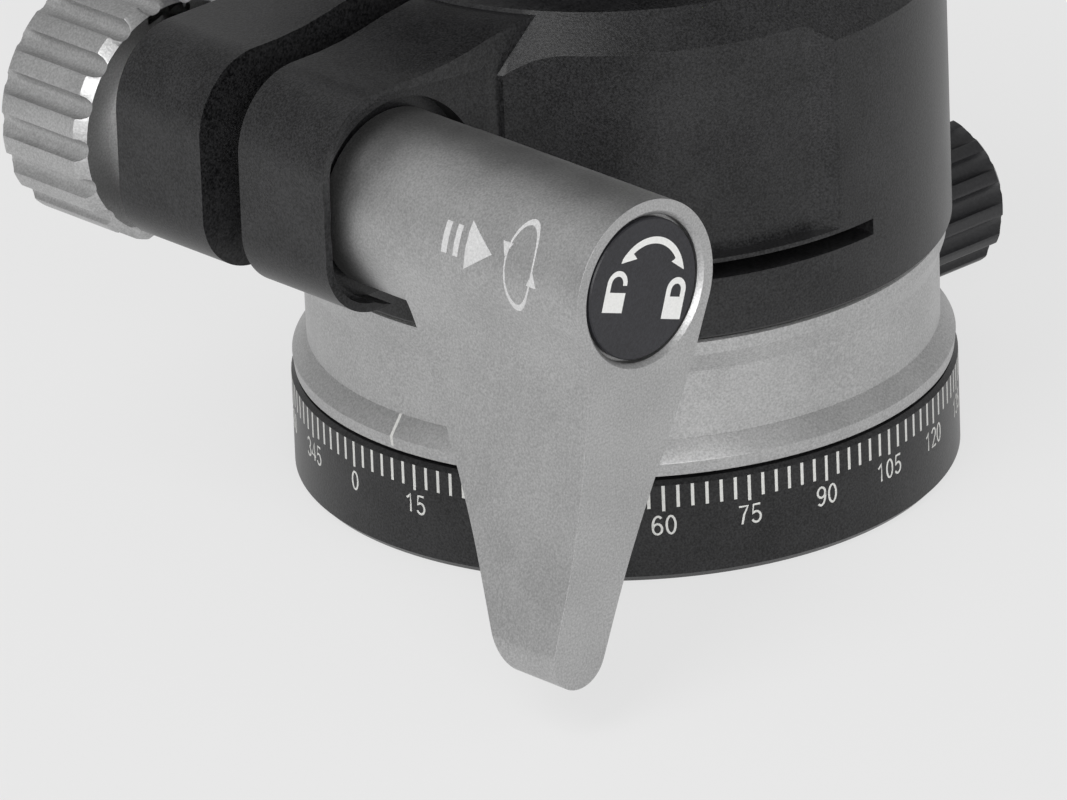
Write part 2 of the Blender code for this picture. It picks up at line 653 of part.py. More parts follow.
def make_ring():
    ring = turned(
        "index_ring",
        [
            (CAVITY_RADIUS, RING_TOP),
            (RING_FLANGE_RADIUS - RING_FLANGE_EDGE, RING_TOP),
            (RING_FLANGE_RADIUS, RING_TOP - RING_FLANGE_EDGE),
            (RING_FLANGE_RADIUS, RING_BOTTOM + RING_FLANGE_HEIGHT),
            (RING_NECK_RADIUS, RING_BOTTOM + RING_NECK_HEIGHT),
            (RING_CREASE_RADIUS, RING_BOTTOM + RING_CREASE_HEIGHT),
            (RING_LIP_RADIUS, RING_BOTTOM + RING_LIP_HEIGHT),
            (RING_FOOT_RADIUS, RING_BOTTOM),
            (HUB_RADIUS + GAP, RING_BOTTOM),
            (HUB_RADIUS + GAP, RING_FLOOR_TOP),
            (CAVITY_RADIUS, RING_FLOOR_TOP),
        ],
        "silver_anodised",
        LARGE_STEPS,
    )
    hole = PAN_LOCK_RADIUS + GAP
    reach = turned(
        "pan_lock_hole",
        disc(hole, HUB_RADIUS - OVERRUN, RING_LIP_RADIUS + OVERRUN),
        steps=SMALL_STEPS,
        turn=ALONG_X,
        at=(0.0, 0.0, PAN_LOCK_HEIGHT),
    )
    combine(ring, reach)
    head_top = RING_BOTTOM + GAP + RING_SCREW_HEAD_HEIGHT
    for number, centre in screw_places():
        hole = turned(
            f"ring_screw_hole_{number}",
            [
                (0.0, RING_TOP + OVERRUN),
                (RING_SCREW_RADIUS + GAP, RING_TOP + OVERRUN),
                (RING_SCREW_RADIUS + GAP, head_top + GAP),
                (RING_SCREW_HEAD_RADIUS + GAP, head_top + GAP),
                (RING_SCREW_HEAD_RADIUS + GAP, RING_BOTTOM - OVERRUN),
                (0.0, RING_BOTTOM - OVERRUN),
            ],
            steps=SMALL_STEPS,
            at=centre,
        )
        combine(ring, hole)
        turned(
            f"ring_screw_{number}",
            [
                (0.0, COLLAR_BOTTOM + RING_SCREW_REACH),
                (RING_SCREW_RADIUS, COLLAR_BOTTOM + RING_SCREW_REACH),
                (RING_SCREW_RADIUS, head_top),
                (RING_SCREW_HEAD_RADIUS, head_top),
                (RING_SCREW_HEAD_RADIUS, RING_BOTTOM + GAP),
                (0.0, RING_BOTTOM + GAP),
            ],
            "bright_steel",
            SMALL_STEPS,
            at=centre,
        )


def scoop_outline(side):
    """Plan of a milled scoop: along the pocket's floor, round a fillet, and along the collar's wall."""
    tangent_y = POCKET_FLOOR + SCOOP_FILLET
    tangent_x = -math.sqrt((SCOOP_RADIUS + SCOOP_FILLET) ** 2 - tangent_y**2)
    wall_start = math.atan2(-tangent_y, tangent_x)
    outer = COLLAR_RADIUS + SCOOP_REACH
    points = [(EAR_END - OVERRUN, -POCKET_FLOOR)]
    points += arc((tangent_x, -tangent_y), SCOOP_FILLET, math.pi / 2, wall_start + math.pi, CORNER_STEPS)
    wall_end = SCOOP_END_ANGLE - SCOOP_RAMP_ANGLE
    points += arc((0.0, 0.0), SCOOP_RADIUS, wall_start, wall_end, 3 * CORNER_STEPS)[1:]
    for step in range(1, CORNER_STEPS + 1):
        share = step / CORNER_STEPS
        eased = share * share * (3 - 2 * share)
        radius = SCOOP_RADIUS + (COLLAR_RADIUS + GAP - SCOOP_RADIUS) * eased
        angle = wall_end + SCOOP_RAMP_ANGLE * share
        points.append((radius * math.cos(angle), radius * math.sin(angle)))
    points.append((0.0, -outer))
    points.append((EAR_END - OVERRUN, -outer))
    return [(x, -y * side) for x, y in points]


def pocket_outline():
    """Side view of the scoop: inside the rim it follows the ear's outline, then opens over the collar."""
    quarter = math.pi / 2
    top_centre = (EAR_END + EAR_TOP_CORNER, EAR_TOP - EAR_TOP_CORNER)
    bottom_centre = (EAR_END + EAR_BOTTOM_CORNER, EAR_BOTTOM + EAR_BOTTOM_CORNER)
    points = [(OVERRUN, SCOOP_FLOOR), (BOLT_X, SCOOP_FLOOR)]
    points += arc(bottom_centre, EAR_BOTTOM_CORNER - POCKET_RIM, 3 * quarter, 2 * quarter, CORNER_STEPS)
    points += arc(top_centre, EAR_TOP_CORNER - POCKET_RIM, 2 * quarter, quarter, CORNER_STEPS)[:-1]
    run = -top_centre[0] - EAR_SWEEP_END
    for share, drop in POCKET_TOP_SHARES:
        points.append((-EAR_SWEEP_END - run * share, EAR_TOP - EAR_RISE * drop))
    points.append((OVERRUN, points[-1][1]))
    return points


def ear_outline():
    """Side view of the ears: a tall end with rounded corners, left high at the root for the top's cut."""
    quarter = math.pi / 2
    top_centre = (EAR_END + EAR_TOP_CORNER, EAR_TOP - EAR_TOP_CORNER)
    bottom_centre = (EAR_END + EAR_BOTTOM_CORNER, EAR_BOTTOM + EAR_BOTTOM_CORNER)
    points = [(EAR_ROOT, EAR_BOTTOM)]
    points += arc(bottom_centre, EAR_BOTTOM_CORNER, 3 * quarter, 2 * quarter, CORNER_STEPS)
    points += arc(top_centre, EAR_TOP_CORNER, 2 * quarter, quarter, CORNER_STEPS)
    points.append((-EAR_SWEEP_START, EAR_TOP))
    points.append((-COLLAR_RADIUS, COLLAR_TOP - GAP))
    points.append((EAR_ROOT, COLLAR_TOP - GAP))
    return points


def shape_ear_tops(collar):
    """Cuts the swept top by which the ears rise to the collar."""
    outer = COLLAR_RADIUS + SCOOP_REACH
    high = COLLAR_TOP + OVERRUN
    run = EAR_SWEEP_START - EAR_SWEEP_END
    sweep = [(EAR_SWEEP_END, high), (outer, high), (outer, EAR_TOP)]
    sweep += [(EAR_SWEEP_END + run * share, EAR_TOP + EAR_RISE * rise) for share, rise in EAR_SWEEP_SHARES]
    combine(collar, turned("ear_sweep", sweep, steps=LARGE_STEPS))


def cut_scoops(collar):
    for name, side in (("near_scoop", -1), ("far_scoop", 1)):
        height = COLLAR_TOP + OVERRUN - SCOOP_FLOOR
        middle = SCOOP_FLOOR + height / 2
        scoop = extruded(name, [scoop_outline(side)], height + OVERRUN, at=(0.0, 0.0, middle))
        limits = extruded(
            name + "_limits",
            [pocket_outline()],
            COLLAR_RADIUS + SCOOP_REACH,
            turn=UPRIGHT,
            at=(0.0, side * (COLLAR_RADIUS + SCOOP_REACH) / 2, 0.0),
        )
        combine(scoop, limits, "INTERSECT")
        combine(collar, scoop)


def make_collar():
    rim = math.acos(COLLAR_MOUTH_RADIUS / CAVITY_RADIUS)
    inner = [(COLLAR_MOUTH_RADIUS + COLLAR_MOUTH_FLARE, COLLAR_TOP)]
    sphere = arc((0.0, BALL_CENTRE), CAVITY_RADIUS, 0.0, rim, 2 * CORNER_STEPS)
    collar = turned(
        "collar_body",
        inner
        + [
            (COLLAR_TOP_RADIUS, COLLAR_TOP),
            (COLLAR_RADIUS, COLLAR_SHOULDER),
            (COLLAR_RADIUS, COLLAR_BOTTOM + COLLAR_EDGE),
            (COLLAR_RADIUS - COLLAR_EDGE, COLLAR_BOTTOM),
            (CAVITY_RADIUS, COLLAR_BOTTOM),
        ]
        + sphere,
        "black_anodised",
        LARGE_STEPS,
    )
    ears = extruded(
        "ear_block",
        [ear_outline()],
        2 * EAR_FACE,
        turn=UPRIGHT,
    )
    combine(collar, ears, "UNION")
    shape_ear_tops(collar)
    cut_scoops(collar)
    outer = COLLAR_RADIUS + SCOOP_REACH
    saw = block(
        "saw_slot",
        (-outer, -outer, SAW_SLOT_BOTTOM),
        (SAW_SLOT_END, outer, SAW_SLOT_TOP),
    )
    combine(collar, saw)
    slit = block(
        "slit",
        (-outer, -SLIT_WIDTH / 2, SAW_SLOT_BOTTOM + SAW_SLOT_HEIGHT / 2),
        (0.0, SLIT_WIDTH / 2, COLLAR_TOP + OVERRUN),
    )
    combine(collar, slit)
    bolt_hole = turned(
        "bolt_hole",
        disc(BOLT_HOLE, -EAR_FACE - OVERRUN, EAR_FACE + OVERRUN),
        steps=SMALL_STEPS,
        turn=ALONG_Y,
        at=(BOLT_X, 0.0, BOLT_Z),
    )
    combine(collar, bolt_hole)
    counterbore = turned(
        "counterbore",
        disc(COUNTERBORE_RADIUS, -EAR_FACE - OVERRUN, COUNTERBORE_FLOOR),
        turn=ALONG_Y,
        at=(BOLT_X, 0.0, BOLT_Z),
    )
    combine(collar, counterbore)
    top = COLLAR_BOTTOM + RING_SCREW_REACH + GAP
    for number, centre in screw_places():
        tapped = turned(
            f"collar_screw_hole_{number}",
            disc(RING_SCREW_RADIUS + GAP, COLLAR_BOTTOM - OVERRUN, top),
            steps=SMALL_STEPS,
            at=centre,
        )
        combine(collar, tapped)


def make_cup_spring():
    """A wave spring: a flat strip ring whose height follows a sine round the circle."""
    low = RING_FLOOR_TOP + GAP
    high = CUP_BOTTOM - GAP
    middle = (low + high) / 2
    swing = (high - low - SPRING_STRIP) / 2
    mesh = bpy.data.meshes.new("cup_spring")
    shape = bmesh.new()
    bmesh.ops.create_circle(shape, cap_ends=False, radius=SPRING_INNER_RADIUS, segments=SPRING_STEPS)
    rim = bmesh.ops.extrude_edge_only(shape, edges=shape.edges[:])["geom"]
    grown = SPRING_OUTER_RADIUS / SPRING_INNER_RADIUS
    outer = [item for item in rim if isinstance(item, bmesh.types.BMVert)]
    bmesh.ops.scale(shape, vec=(grown, grown, 1.0), verts=outer)
    for vertex in shape.verts:
        angle = math.atan2(vertex.co.y, vertex.co.x)
        vertex.co.z = middle + swing * math.sin(SPRING_WAVES * angle)
    shape.to_mesh(mesh)
    shape.free()
    spring = bpy.data.objects.new("cup_spring", mesh)
    solid = spring.modifiers.new("Strip", "SOLIDIFY")
    solid.thickness = SPRING_STRIP
    solid.offset = 0.0
    return place(spring, "bright_steel")


def make_ball():
    cup_reach = BALL_RADIUS + GAP
    low_angle = -math.acos(CUP_BORE / cup_reach)
    high_angle = -math.asin((BALL_CENTRE - CUP_TOP) / cup_reach)
    seat = arc((0.0, BALL_CENTRE), cup_reach, low_angle, high_angle, CORNER_STEPS)
    turned(
        "ball_cup",
        [(CUP_RADIUS, CUP_TOP), (CUP_RADIUS, CUP_BOTTOM), (CUP_BORE, CUP_BOTTOM)] + seat,
        "white_plastic",
        MEDIUM_STEPS,
    )
    neck_angle = math.acos(NECK_RADIUS / BALL_RADIUS)
    sphere = arc((0.0, BALL_CENTRE), BALL_RADIUS, neck_angle, -math.pi / 2, 3 * CORNER_STEPS)
    sphere[-1] = (0.0, BALL_CENTRE - BALL_RADIUS)
    bore = STEM_SCREW_RADIUS + GAP
    flange_bottom = NECK_TOP - NECK_FLANGE_THICKNESS
    turned(
        "ball",
        [
            (0.0, NECK_TOP - NECK_BORE_DEPTH),
            (bore, NECK_TOP - NECK_BORE_DEPTH),
            (bore, NECK_TOP),
            (NECK_FLANGE_RADIUS, NECK_TOP),
            (NECK_FLANGE_RADIUS, flange_bottom),
            (NECK_RADIUS, flange_bottom - NECK_FLANGE_RADIUS + NECK_RADIUS),
        ]
        + sphere,
        "black_anodised",
        MEDIUM_STEPS,
    )


def make_bolt():
    hub = {"turn": ALONG_Y, "at": (BOLT_X, 0.0, BOLT_Z)}
    low = COUNTERBORE_FLOOR - GAP - EAR_WASHER_THICKNESS
    turned(
        "ear_washer",
        washer(EAR_WASHER_RADIUS, BOLT_HOLE, low, COUNTERBORE_FLOOR - GAP),
        "bright_steel",
        **hub,
    )
    hole = LEVER_SCREW_RADIUS + GAP
    hole_end = BOLT_SPIGOT_END + LEVER_SCREW_GRIP + GAP
    turned(
        "clamp_bolt",
        [
            (0.0, BOLT_FAR_END),
            (BOLT_RADIUS, BOLT_FAR_END),
            (BOLT_RADIUS, BOLT_FLANGE_FACE),
            (BOLT_FLANGE_RADIUS, BOLT_FLANGE_FACE),
            (BOLT_FLANGE_RADIUS, BOLT_FLANGE_FACE - BOLT_FLANGE_THICKNESS),
            (BOLT_SPIGOT_RADIUS, BOLT_FLANGE_FACE - BOLT_FLANGE_THICKNESS),
            (BOLT_SPIGOT_RADIUS, BOLT_SPIGOT_END),
            (hole, BOLT_SPIGOT_END),
            (hole, hole_end),
            (0.0, hole_end),
        ],
        "bright_steel",
        SMALL_STEPS,
        **hub,
    )
    extruded(
        "spline_sleeve",
        [
            toothed(SPLINE_TIP_RADIUS, SPLINE_ROOT_RADIUS, SPLINE_TEETH),
            circle(BOLT_SPIGOT_RADIUS + GAP, SMALL_STEPS),
        ],
        SLEEVE_LENGTH,
        "bright_steel",
        UPRIGHT,
        (BOLT_X, (SLEEVE_START + SLEEVE_END) / 2, BOLT_Z),
    )
    turned(
        "lever_screw",
        [
            (0.0, BOLT_SPIGOT_END + LEVER_SCREW_GRIP),
            (LEVER_SCREW_RADIUS, BOLT_SPIGOT_END + LEVER_SCREW_GRIP),
            (LEVER_SCREW_RADIUS, LEVER_SCREW_HEAD_START),
            (LEVER_SCREW_HEAD_RADIUS, LEVER_SCREW_HEAD_START),
            (LEVER_SCREW_HEAD_RADIUS, LEVER_SCREW_HEAD_END),
            (0.0, LEVER_SCREW_HEAD_END),
        ],
        "bright_steel",
        SMALL_STEPS,
        **hub,
    )
    make_lever_spring()


def make_lever_spring():
    """A coil between the lever's inner web and the head of its screw."""
    start = LEVER_WEB_END - GAP - LEVER_SPRING_WIRE / 2
    end = LEVER_SCREW_HEAD_START + GAP + LEVER_SPRING_WIRE / 2
    curve = bpy.data.curves.new("lever_spring", "CURVE")
    curve.dimensions = "3D"
    curve.bevel_depth = LEVER_SPRING_WIRE / 2
    curve.bevel_resolution = 1
    curve.use_fill_caps = True
    spline = curve.splines.new("POLY")
    count = LEVER_SPRING_TURNS * LEVER_SPRING_TURN_POINTS
    spline.points.add(count)
    for index, point in enumerate(spline.points):
        share = index / count
        angle = 2 * math.pi * LEVER_SPRING_TURNS * share
        x = BOLT_X + LEVER_SPRING_RADIUS * math.cos(angle)
        z = BOLT_Z + LEVER_SPRING_RADIUS * math.sin(angle)
        point.co = (x, start + (end - start) * share, z, 1.0)
    drawn = bpy.data.objects.new("lever_spring_path", curve)
    bpy.context.scene.collection.objects.link(drawn)
    return meshed(drawn, "lever_spring", "bright_steel")


def lever_outline():
    """Side view of the lever about its hub: a round head, a slight waist and a round tip, hanging down."""
    reach = LEVER_TIP_DISTANCE
    tip = arc((0.0, -reach), LEVER_TIP_RADIUS, *LEVER_TIP_ARC, 2 * CORNER_STEPS)
    head = arc((0.0, 0.0), LEVER_HUB_RADIUS, *LEVER_HEAD_ARC, 4 * CORNER_STEPS)
    waist = (LEVER_WAIST_HALF, -LEVER_WAIST_DISTANCE)
    right = smooth_side((LEVER_TIP_RADIUS, -reach), waist, head[0])
    left = [(-x, y) for x, y in reversed(right)]
    return tip[:-1] + right + head[1:-1] + left


def smooth_side(foot, waist, shoulder):
    """A quadratic run from the tip through the waist to the head."""
    points = []
    steps = 2 * CORNER_STEPS
    for index in range(steps + 1):
        y = foot[1] + (shoulder[1] - foot[1]) * index / steps
        span = 0.0
        for (xa, ya), (xb, yb), (xc, yc) in (
            (foot, waist, shoulder),
            (waist, foot, shoulder),
            (shoulder, foot, waist),
        ):
            span += xa * (y - yb) * (y - yc) / ((ya - yb) * (ya - yc))
        points.append((span, y))
    return points


def make_lever():
    hub = {"turn": ALONG_Y, "at": (BOLT_X, 0.0, BOLT_Z)}
    depth = LEVER_ARM_FACE - LEVER_OUTER_FACE
    middle = (LEVER_ARM_FACE + LEVER_OUTER_FACE) / 2
    arm = extruded(
        "lever",
        [lever_outline()],
        depth,
        "silver_anodised",
        Matrix.Rotation(LEVER_TILT, 4, "Y") @ UPRIGHT,
        (BOLT_X, middle, BOLT_Z),
    )
    combine(arm, taper_cutter())
    barrel = turned(
        "lever_barrel",
        disc(LEVER_HUB_RADIUS - LEVER_SEAM, LEVER_ARM_FACE - LEVER_BARREL_OVERLAP, LEVER_INNER_FACE),
        steps=LARGE_STEPS,
        **hub,
    )
    combine(arm, barrel, "UNION")
    hollow = turned(
        "lever_hollow",
        [
            (0.0, LEVER_INNER_FACE + OVERRUN),
            (SPLINE_TIP_RADIUS + GAP, LEVER_INNER_FACE + OVERRUN),
            (SPLINE_TIP_RADIUS + GAP, LEVER_TEETH_START),
            (SPLINE_ROOT_RADIUS - GAP, LEVER_TEETH_START),
            (SPLINE_ROOT_RADIUS - GAP, LEVER_WEB_START),
            (0.0, LEVER_WEB_START),
        ],
        steps=MEDIUM_STEPS,
        **hub,
    )
    combine(arm, hollow)
    teeth = extruded(
        "lever_teeth",
        [toothed(SPLINE_TIP_RADIUS + GAP, SPLINE_ROOT_RADIUS + GAP, SPLINE_TEETH)],
        LEVER_TEETH_LENGTH + GAP,
        turn=UPRIGHT,
        at=(BOLT_X, LEVER_TEETH_START - LEVER_TEETH_LENGTH / 2 + GAP / 2, BOLT_Z),
    )
    combine(arm, teeth)
    seat = turned(
        "lever_seat",
        [
            (0.0, LEVER_WEB_START + OVERRUN),
            (LEVER_SCREW_RADIUS + GAP, LEVER_WEB_START + OVERRUN),
            (LEVER_SCREW_RADIUS + GAP, LEVER_WEB_END),
            (LEVER_SCREW_HEAD_RADIUS + GAP, LEVER_WEB_END),
            (LEVER_SCREW_HEAD_RADIUS + GAP, BADGE_SEAT),
            (BADGE_RADIUS + GAP, BADGE_SEAT),
            (BADGE_RADIUS + GAP, LEVER_OUTER_FACE - OVERRUN),
            (0.0, LEVER_OUTER_FACE - OVERRUN),
        ],
        steps=MEDIUM_STEPS,
        **hub,
    )
    combine(arm, seat)
    high = BADGE_SEAT - GAP
    turned("badge", disc(BADGE_RADIUS, high - BADGE_THICKNESS, high), "black_plastic", **hub)


def taper_cutter():
    """Wedge that thins the arm towards its tip, leaving room for the collar as the lever swings past it."""
    low = -LEVER_TIP_DISTANCE - LEVER_TIP_RADIUS - OVERRUN
    slope = LEVER_TAPER_DEPTH / (LEVER_TAPER_END - LEVER_TAPER_START)
    outline = [
        (LEVER_TAPER_INNER + slope * LEVER_TAPER_START, 0.0),
        (LEVER_TAPER_INNER + slope * (low + LEVER_TAPER_START), low),
        (LEVER_ARM_FACE + OVERRUN, low),
        (LEVER_ARM_FACE + OVERRUN, 0.0),
    ]
    return extruded(
        "lever_taper",
        [outline],
        2 * LEVER_HUB_RADIUS,
        turn=Matrix.Rotation(LEVER_TILT, 4, "Y") @ CROSSWISE,
        at=(BOLT_X, 0.0, BOLT_Z),
    )


def make_friction_knob():
    hub = {"turn": ALONG_Y, "at": (BOLT_X, 0.0, BOLT_Z)}
    low = POCKET_FLOOR + GAP
    turned(
        "far_washer",
        washer(FAR_WASHER_RADIUS, BOLT_HOLE, low, low + FAR_WASHER_THICKNESS),
        "bright_steel",
        **hub,
    )
    grip_start = FAR_KNOB_START + FRICTION_KNOB_COLLAR_LENGTH
    knob = extruded(
        "friction_knob",
        [fluted(FRICTION_KNOB_RADIUS, FRICTION_KNOB_FLUTE_RADIUS, FRICTION_KNOB_FLUTES)],
        FAR_KNOB_END - grip_start,
        "silver_anodised",
        UPRIGHT,
        (BOLT_X, (grip_start + FAR_KNOB_END) / 2, BOLT_Z),
    )
    neck = turned(
        "friction_knob_neck",
        disc(FRICTION_KNOB_COLLAR_RADIUS, FAR_KNOB_START, grip_start + GAP),
        **hub,
    )
    combine(knob, neck, "UNION")
    nut_hole = KNOB_NUT_RADIUS + GAP
    nut_end = FAR_KNOB_START + KNOB_NUT_LENGTH + GAP
    hollow = turned(
        "friction_knob_hollow",
        [
            (0.0, BOLT_FAR_END + GAP),
            (BOLT_HOLE, BOLT_FAR_END + GAP),
            (BOLT_HOLE, nut_end),
            (nut_hole, nut_end),
            (nut_hole, FAR_KNOB_START - OVERRUN),
            (0.0, FAR_KNOB_START - OVERRUN),
        ],
        steps=SMALL_STEPS,
        **hub,
    )
    combine(knob, hollow)
    turned(
        "knob_nut",
        washer(KNOB_NUT_RADIUS, BOLT_HOLE, FAR_KNOB_START, FAR_KNOB_START + KNOB_NUT_LENGTH),
        "brass",
        SMALL_STEPS,
        **hub,
    )


def make_pan_lock():
    axis = {"turn": ALONG_X, "at": (0.0, 0.0, PAN_LOCK_HEIGHT)}
    shoe_start = HUB_RADIUS + GAP
    shoe_end = shoe_start + PAN_SHOE_LENGTH
    turned("brake_shoe", disc(PAN_LOCK_RADIUS, shoe_start, shoe_end), "black_plastic", SMALL_STEPS, **axis)
    screw_end = PAN_KNOB_START + PAN_SCREW_GRIP
    turned("pan_screw", disc(PAN_LOCK_RADIUS, shoe_end + GAP, screw_end), "bright_steel", SMALL_STEPS, **axis)
    grip_start = PAN_KNOB_START + PAN_KNOB_COLLAR_LENGTH
    grip_end = PAN_KNOB_START + PAN_KNOB_LENGTH
    knob = extruded(
        "pan_knob",
        [fluted(PAN_KNOB_RADIUS, PAN_KNOB_FLUTE_RADIUS, PAN_KNOB_FLUTES)],
        grip_end - grip_start,
        "black_plastic",
        ALONG_X,
        ((grip_start + grip_end) / 2, 0.0, PAN_LOCK_HEIGHT),
    )
    neck = turned("pan_knob_neck", disc(PAN_KNOB_COLLAR_RADIUS, PAN_KNOB_START, grip_start + GAP), **axis)
    combine(knob, neck, "UNION")
    hole = turned(
        "pan_knob_hole",
        disc(PAN_LOCK_RADIUS + GAP, PAN_KNOB_START - OVERRUN, screw_end + GAP),
        steps=SMALL_STEPS,
        **axis,
    )
    combine(knob, hole)


def jaw_hook(outer):
    """End view of a jaw's upper part: outer wall, lip over the dovetail, and the slope down to the floor."""
    lip = DOVETAIL_HALF - DOVETAIL_SLOPE
    foot = CLAMP_FLOOR + DOVETAIL_LIP
    return [(outer, CLAMP_TOP), (lip, CLAMP_TOP), (lip, foot + DOVETAIL_SLOPE), (DOVETAIL_HALF, foot)]


def make_clamp():
    outline = [(-y, z) for y, z in jaw_hook(-CLAMP_FIXED_SIDE)]
    outline += [
        (-DOVETAIL_HALF, CLAMP_FLOOR),
        (DOVETAIL_HALF - GAP, CLAMP_FLOOR),
        (DOVETAIL_HALF - GAP, CLAMP_BOTTOM),
        (CLAMP_FIXED_SIDE, CLAMP_BOTTOM),
    ]
    body = extruded("clamp_body", [outline], CLAMP_LENGTH, "black_anodised", CROSSWISE)
    corners = corner_cutter("clamp_corners")
    combine(body, corners, "INTERSECT")
    head_bottom = CLAMP_FLOOR - GAP - STEM_SCREW_HEAD_HEIGHT
    stem_hole = turned(
        "stem_hole",
        [
            (0.0, CLAMP_FLOOR + OVERRUN),
            (STEM_SCREW_HEAD_RADIUS + GAP, CLAMP_FLOOR + OVERRUN),
            (STEM_SCREW_HEAD_RADIUS + GAP, head_bottom - GAP),
            (STEM_SCREW_RADIUS + GAP, head_bottom - GAP),
            (STEM_SCREW_RADIUS + GAP, CLAMP_BOTTOM - OVERRUN),
            (0.0, CLAMP_BOTTOM - OVERRUN),
        ],
        steps=MEDIUM_STEPS,
    )
    combine(body, stem_hole)
    socket_floor = CLAMP_FLOOR - GAP - STEM_SOCKET_DEPTH
    screw_end = NECK_TOP - NECK_BORE_DEPTH + GAP
    screw = turned(
        "stem_screw",
        [
            (0.0, CLAMP_FLOOR - GAP),
            (STEM_SCREW_HEAD_RADIUS, CLAMP_FLOOR - GAP),
            (STEM_SCREW_HEAD_RADIUS, head_bottom),
            (STEM_SCREW_RADIUS, head_bottom),
            (STEM_SCREW_RADIUS, screw_end),
            (0.0, screw_end),
        ],
        "bright_steel",
        SMALL_STEPS,
    )
    socket_depth = STEM_SOCKET_DEPTH + GAP
    socket = extruded(
        "stem_socket",
        [circle(STEM_SOCKET_RADIUS, SOCKET_SIDES)],
        socket_depth,
        at=(0.0, 0.0, socket_floor + socket_depth / 2),
    )
    combine(screw, socket)
    for name, x in (("guide_pin_1", -GUIDE_PIN_OFFSET), ("guide_pin_2", GUIDE_PIN_OFFSET)):
        axis = {"turn": ALONG_Y, "at": (x, 0.0, CLAMP_AXIS)}
        hole = turned(
            name + "_hole",
            disc(GUIDE_PIN_RADIUS + GAP, GUIDE_PIN_INNER - GAP, DOVETAIL_HALF + OVERRUN),
            steps=SMALL_STEPS,
            **axis,
        )
        combine(body, hole)
        pin = disc(GUIDE_PIN_RADIUS, GUIDE_PIN_INNER, JAW_SIDE - GAP)
        turned(name, pin, "bright_steel", SMALL_STEPS, **axis)
    screw_hole = turned(
        "clamp_screw_hole",
        disc(CLAMP_SCREW_RADIUS + GAP, CLAMP_SCREW_INNER - GAP, DOVETAIL_HALF + OVERRUN),
        steps=SMALL_STEPS,
        turn=ALONG_Y,
        at=(0.0, 0.0, CLAMP_AXIS),
    )
    combine(body, screw_hole)
    reach = STOP_SCREW_OFFSET + STOP_SCREW_RADIUS + PLATE_TRAVEL + GAP
    groove_half = STOP_SCREW_RADIUS + GAP
    groove = block(
        "stop_groove",
        (-reach, STOP_SCREW_ROW - groove_half, CLAMP_FLOOR - STOP_GROOVE_DEPTH),
        (reach, STOP_SCREW_ROW + groove_half, CLAMP_FLOOR + OVERRUN),
    )
    combine(body, groove)
    vial_at = (0.0, CLAMP_FIXED_SIDE + VIAL_RADIUS / 2, CLAMP_AXIS)
    half_vial = VIAL_LENGTH / 2
    pocket = turned(
        "vial_pocket",
        disc(VIAL_RADIUS + GAP, -half_vial - GAP, half_vial + GAP),
        steps=SMALL_STEPS,
        turn=ALONG_X,
        at=vial_at,
    )
    combine(body, pocket)
    vial = disc(VIAL_RADIUS, -half_vial, half_vial)
    turned("level_vial", vial, "level_glass", SMALL_STEPS, ALONG_X, vial_at)
    make_jaw()


def corner_cutter(name):
    """Plan outline of the whole clamp, tall enough to trim body and jaw to rounded corners."""
    half = CLAMP_LENGTH / 2
    height = CLAMP_TOP - CLAMP_BOTTOM + 2 * OVERRUN
    outline = rounded_box((-half, CLAMP_FIXED_SIDE), (half, JAW_SIDE), CLAMP_CORNER)
    return extruded(name, [outline], height, at=(0.0, 0.0, (CLAMP_TOP + CLAMP_BOTTOM) / 2))


def make_jaw():
    outline = jaw_hook(JAW_SIDE) + [(DOVETAIL_HALF, CLAMP_BOTTOM), (JAW_SIDE, CLAMP_BOTTOM)]
    jaw = extruded("moving_jaw", [outline], CLAMP_LENGTH, "black_anodised", CROSSWISE)
    combine(jaw, corner_cutter("jaw_corners"), "INTERSECT")
    for name, x in (("jaw_hole_1", -GUIDE_PIN_OFFSET), ("jaw_hole_2", GUIDE_PIN_OFFSET)):
        hole = turned(
            name,
            disc(GUIDE_PIN_RADIUS + GAP, DOVETAIL_HALF - OVERRUN, JAW_SIDE + OVERRUN),
            steps=SMALL_STEPS,
            turn=ALONG_Y,
            at=(x, 0.0, CLAMP_AXIS),
        )
        combine(jaw, hole)
    axis = {"turn": ALONG_Y, "at": (0.0, 0.0, CLAMP_AXIS)}
    hole = turned(
        "jaw_screw_hole",
        disc(CLAMP_SCREW_RADIUS + GAP, DOVETAIL_HALF - OVERRUN, JAW_SIDE + OVERRUN),
        steps=SMALL_STEPS,
        **axis,
    )
    combine(jaw, hole)
    knob_start = JAW_SIDE + GAP
    knob_end = knob_start + CLAMP_KNOB_LENGTH
    screw_end = knob_start + CLAMP_KNOB_GRIP
    screw = disc(CLAMP_SCREW_RADIUS, CLAMP_SCREW_INNER, screw_end)
    turned("clamp_screw", screw, "bright_steel", SMALL_STEPS, **axis)
    knob = extruded(
        "clamp_knob",
        [fluted(CLAMP_KNOB_RADIUS, CLAMP_KNOB_FLUTE_RADIUS, CLAMP_KNOB_FLUTES)],
        CLAMP_KNOB_LENGTH,
        "silver_anodised",
        UPRIGHT,
        (0.0, (knob_start + knob_end) / 2, CLAMP_AXIS),
    )
    hole = turned(
        "clamp_knob_hole",
        disc(CLAMP_SCREW_RADIUS + GAP, knob_start - OVERRUN, screw_end + GAP),
        steps=SMALL_STEPS,
        **axis,
    )
    combine(knob, hole)


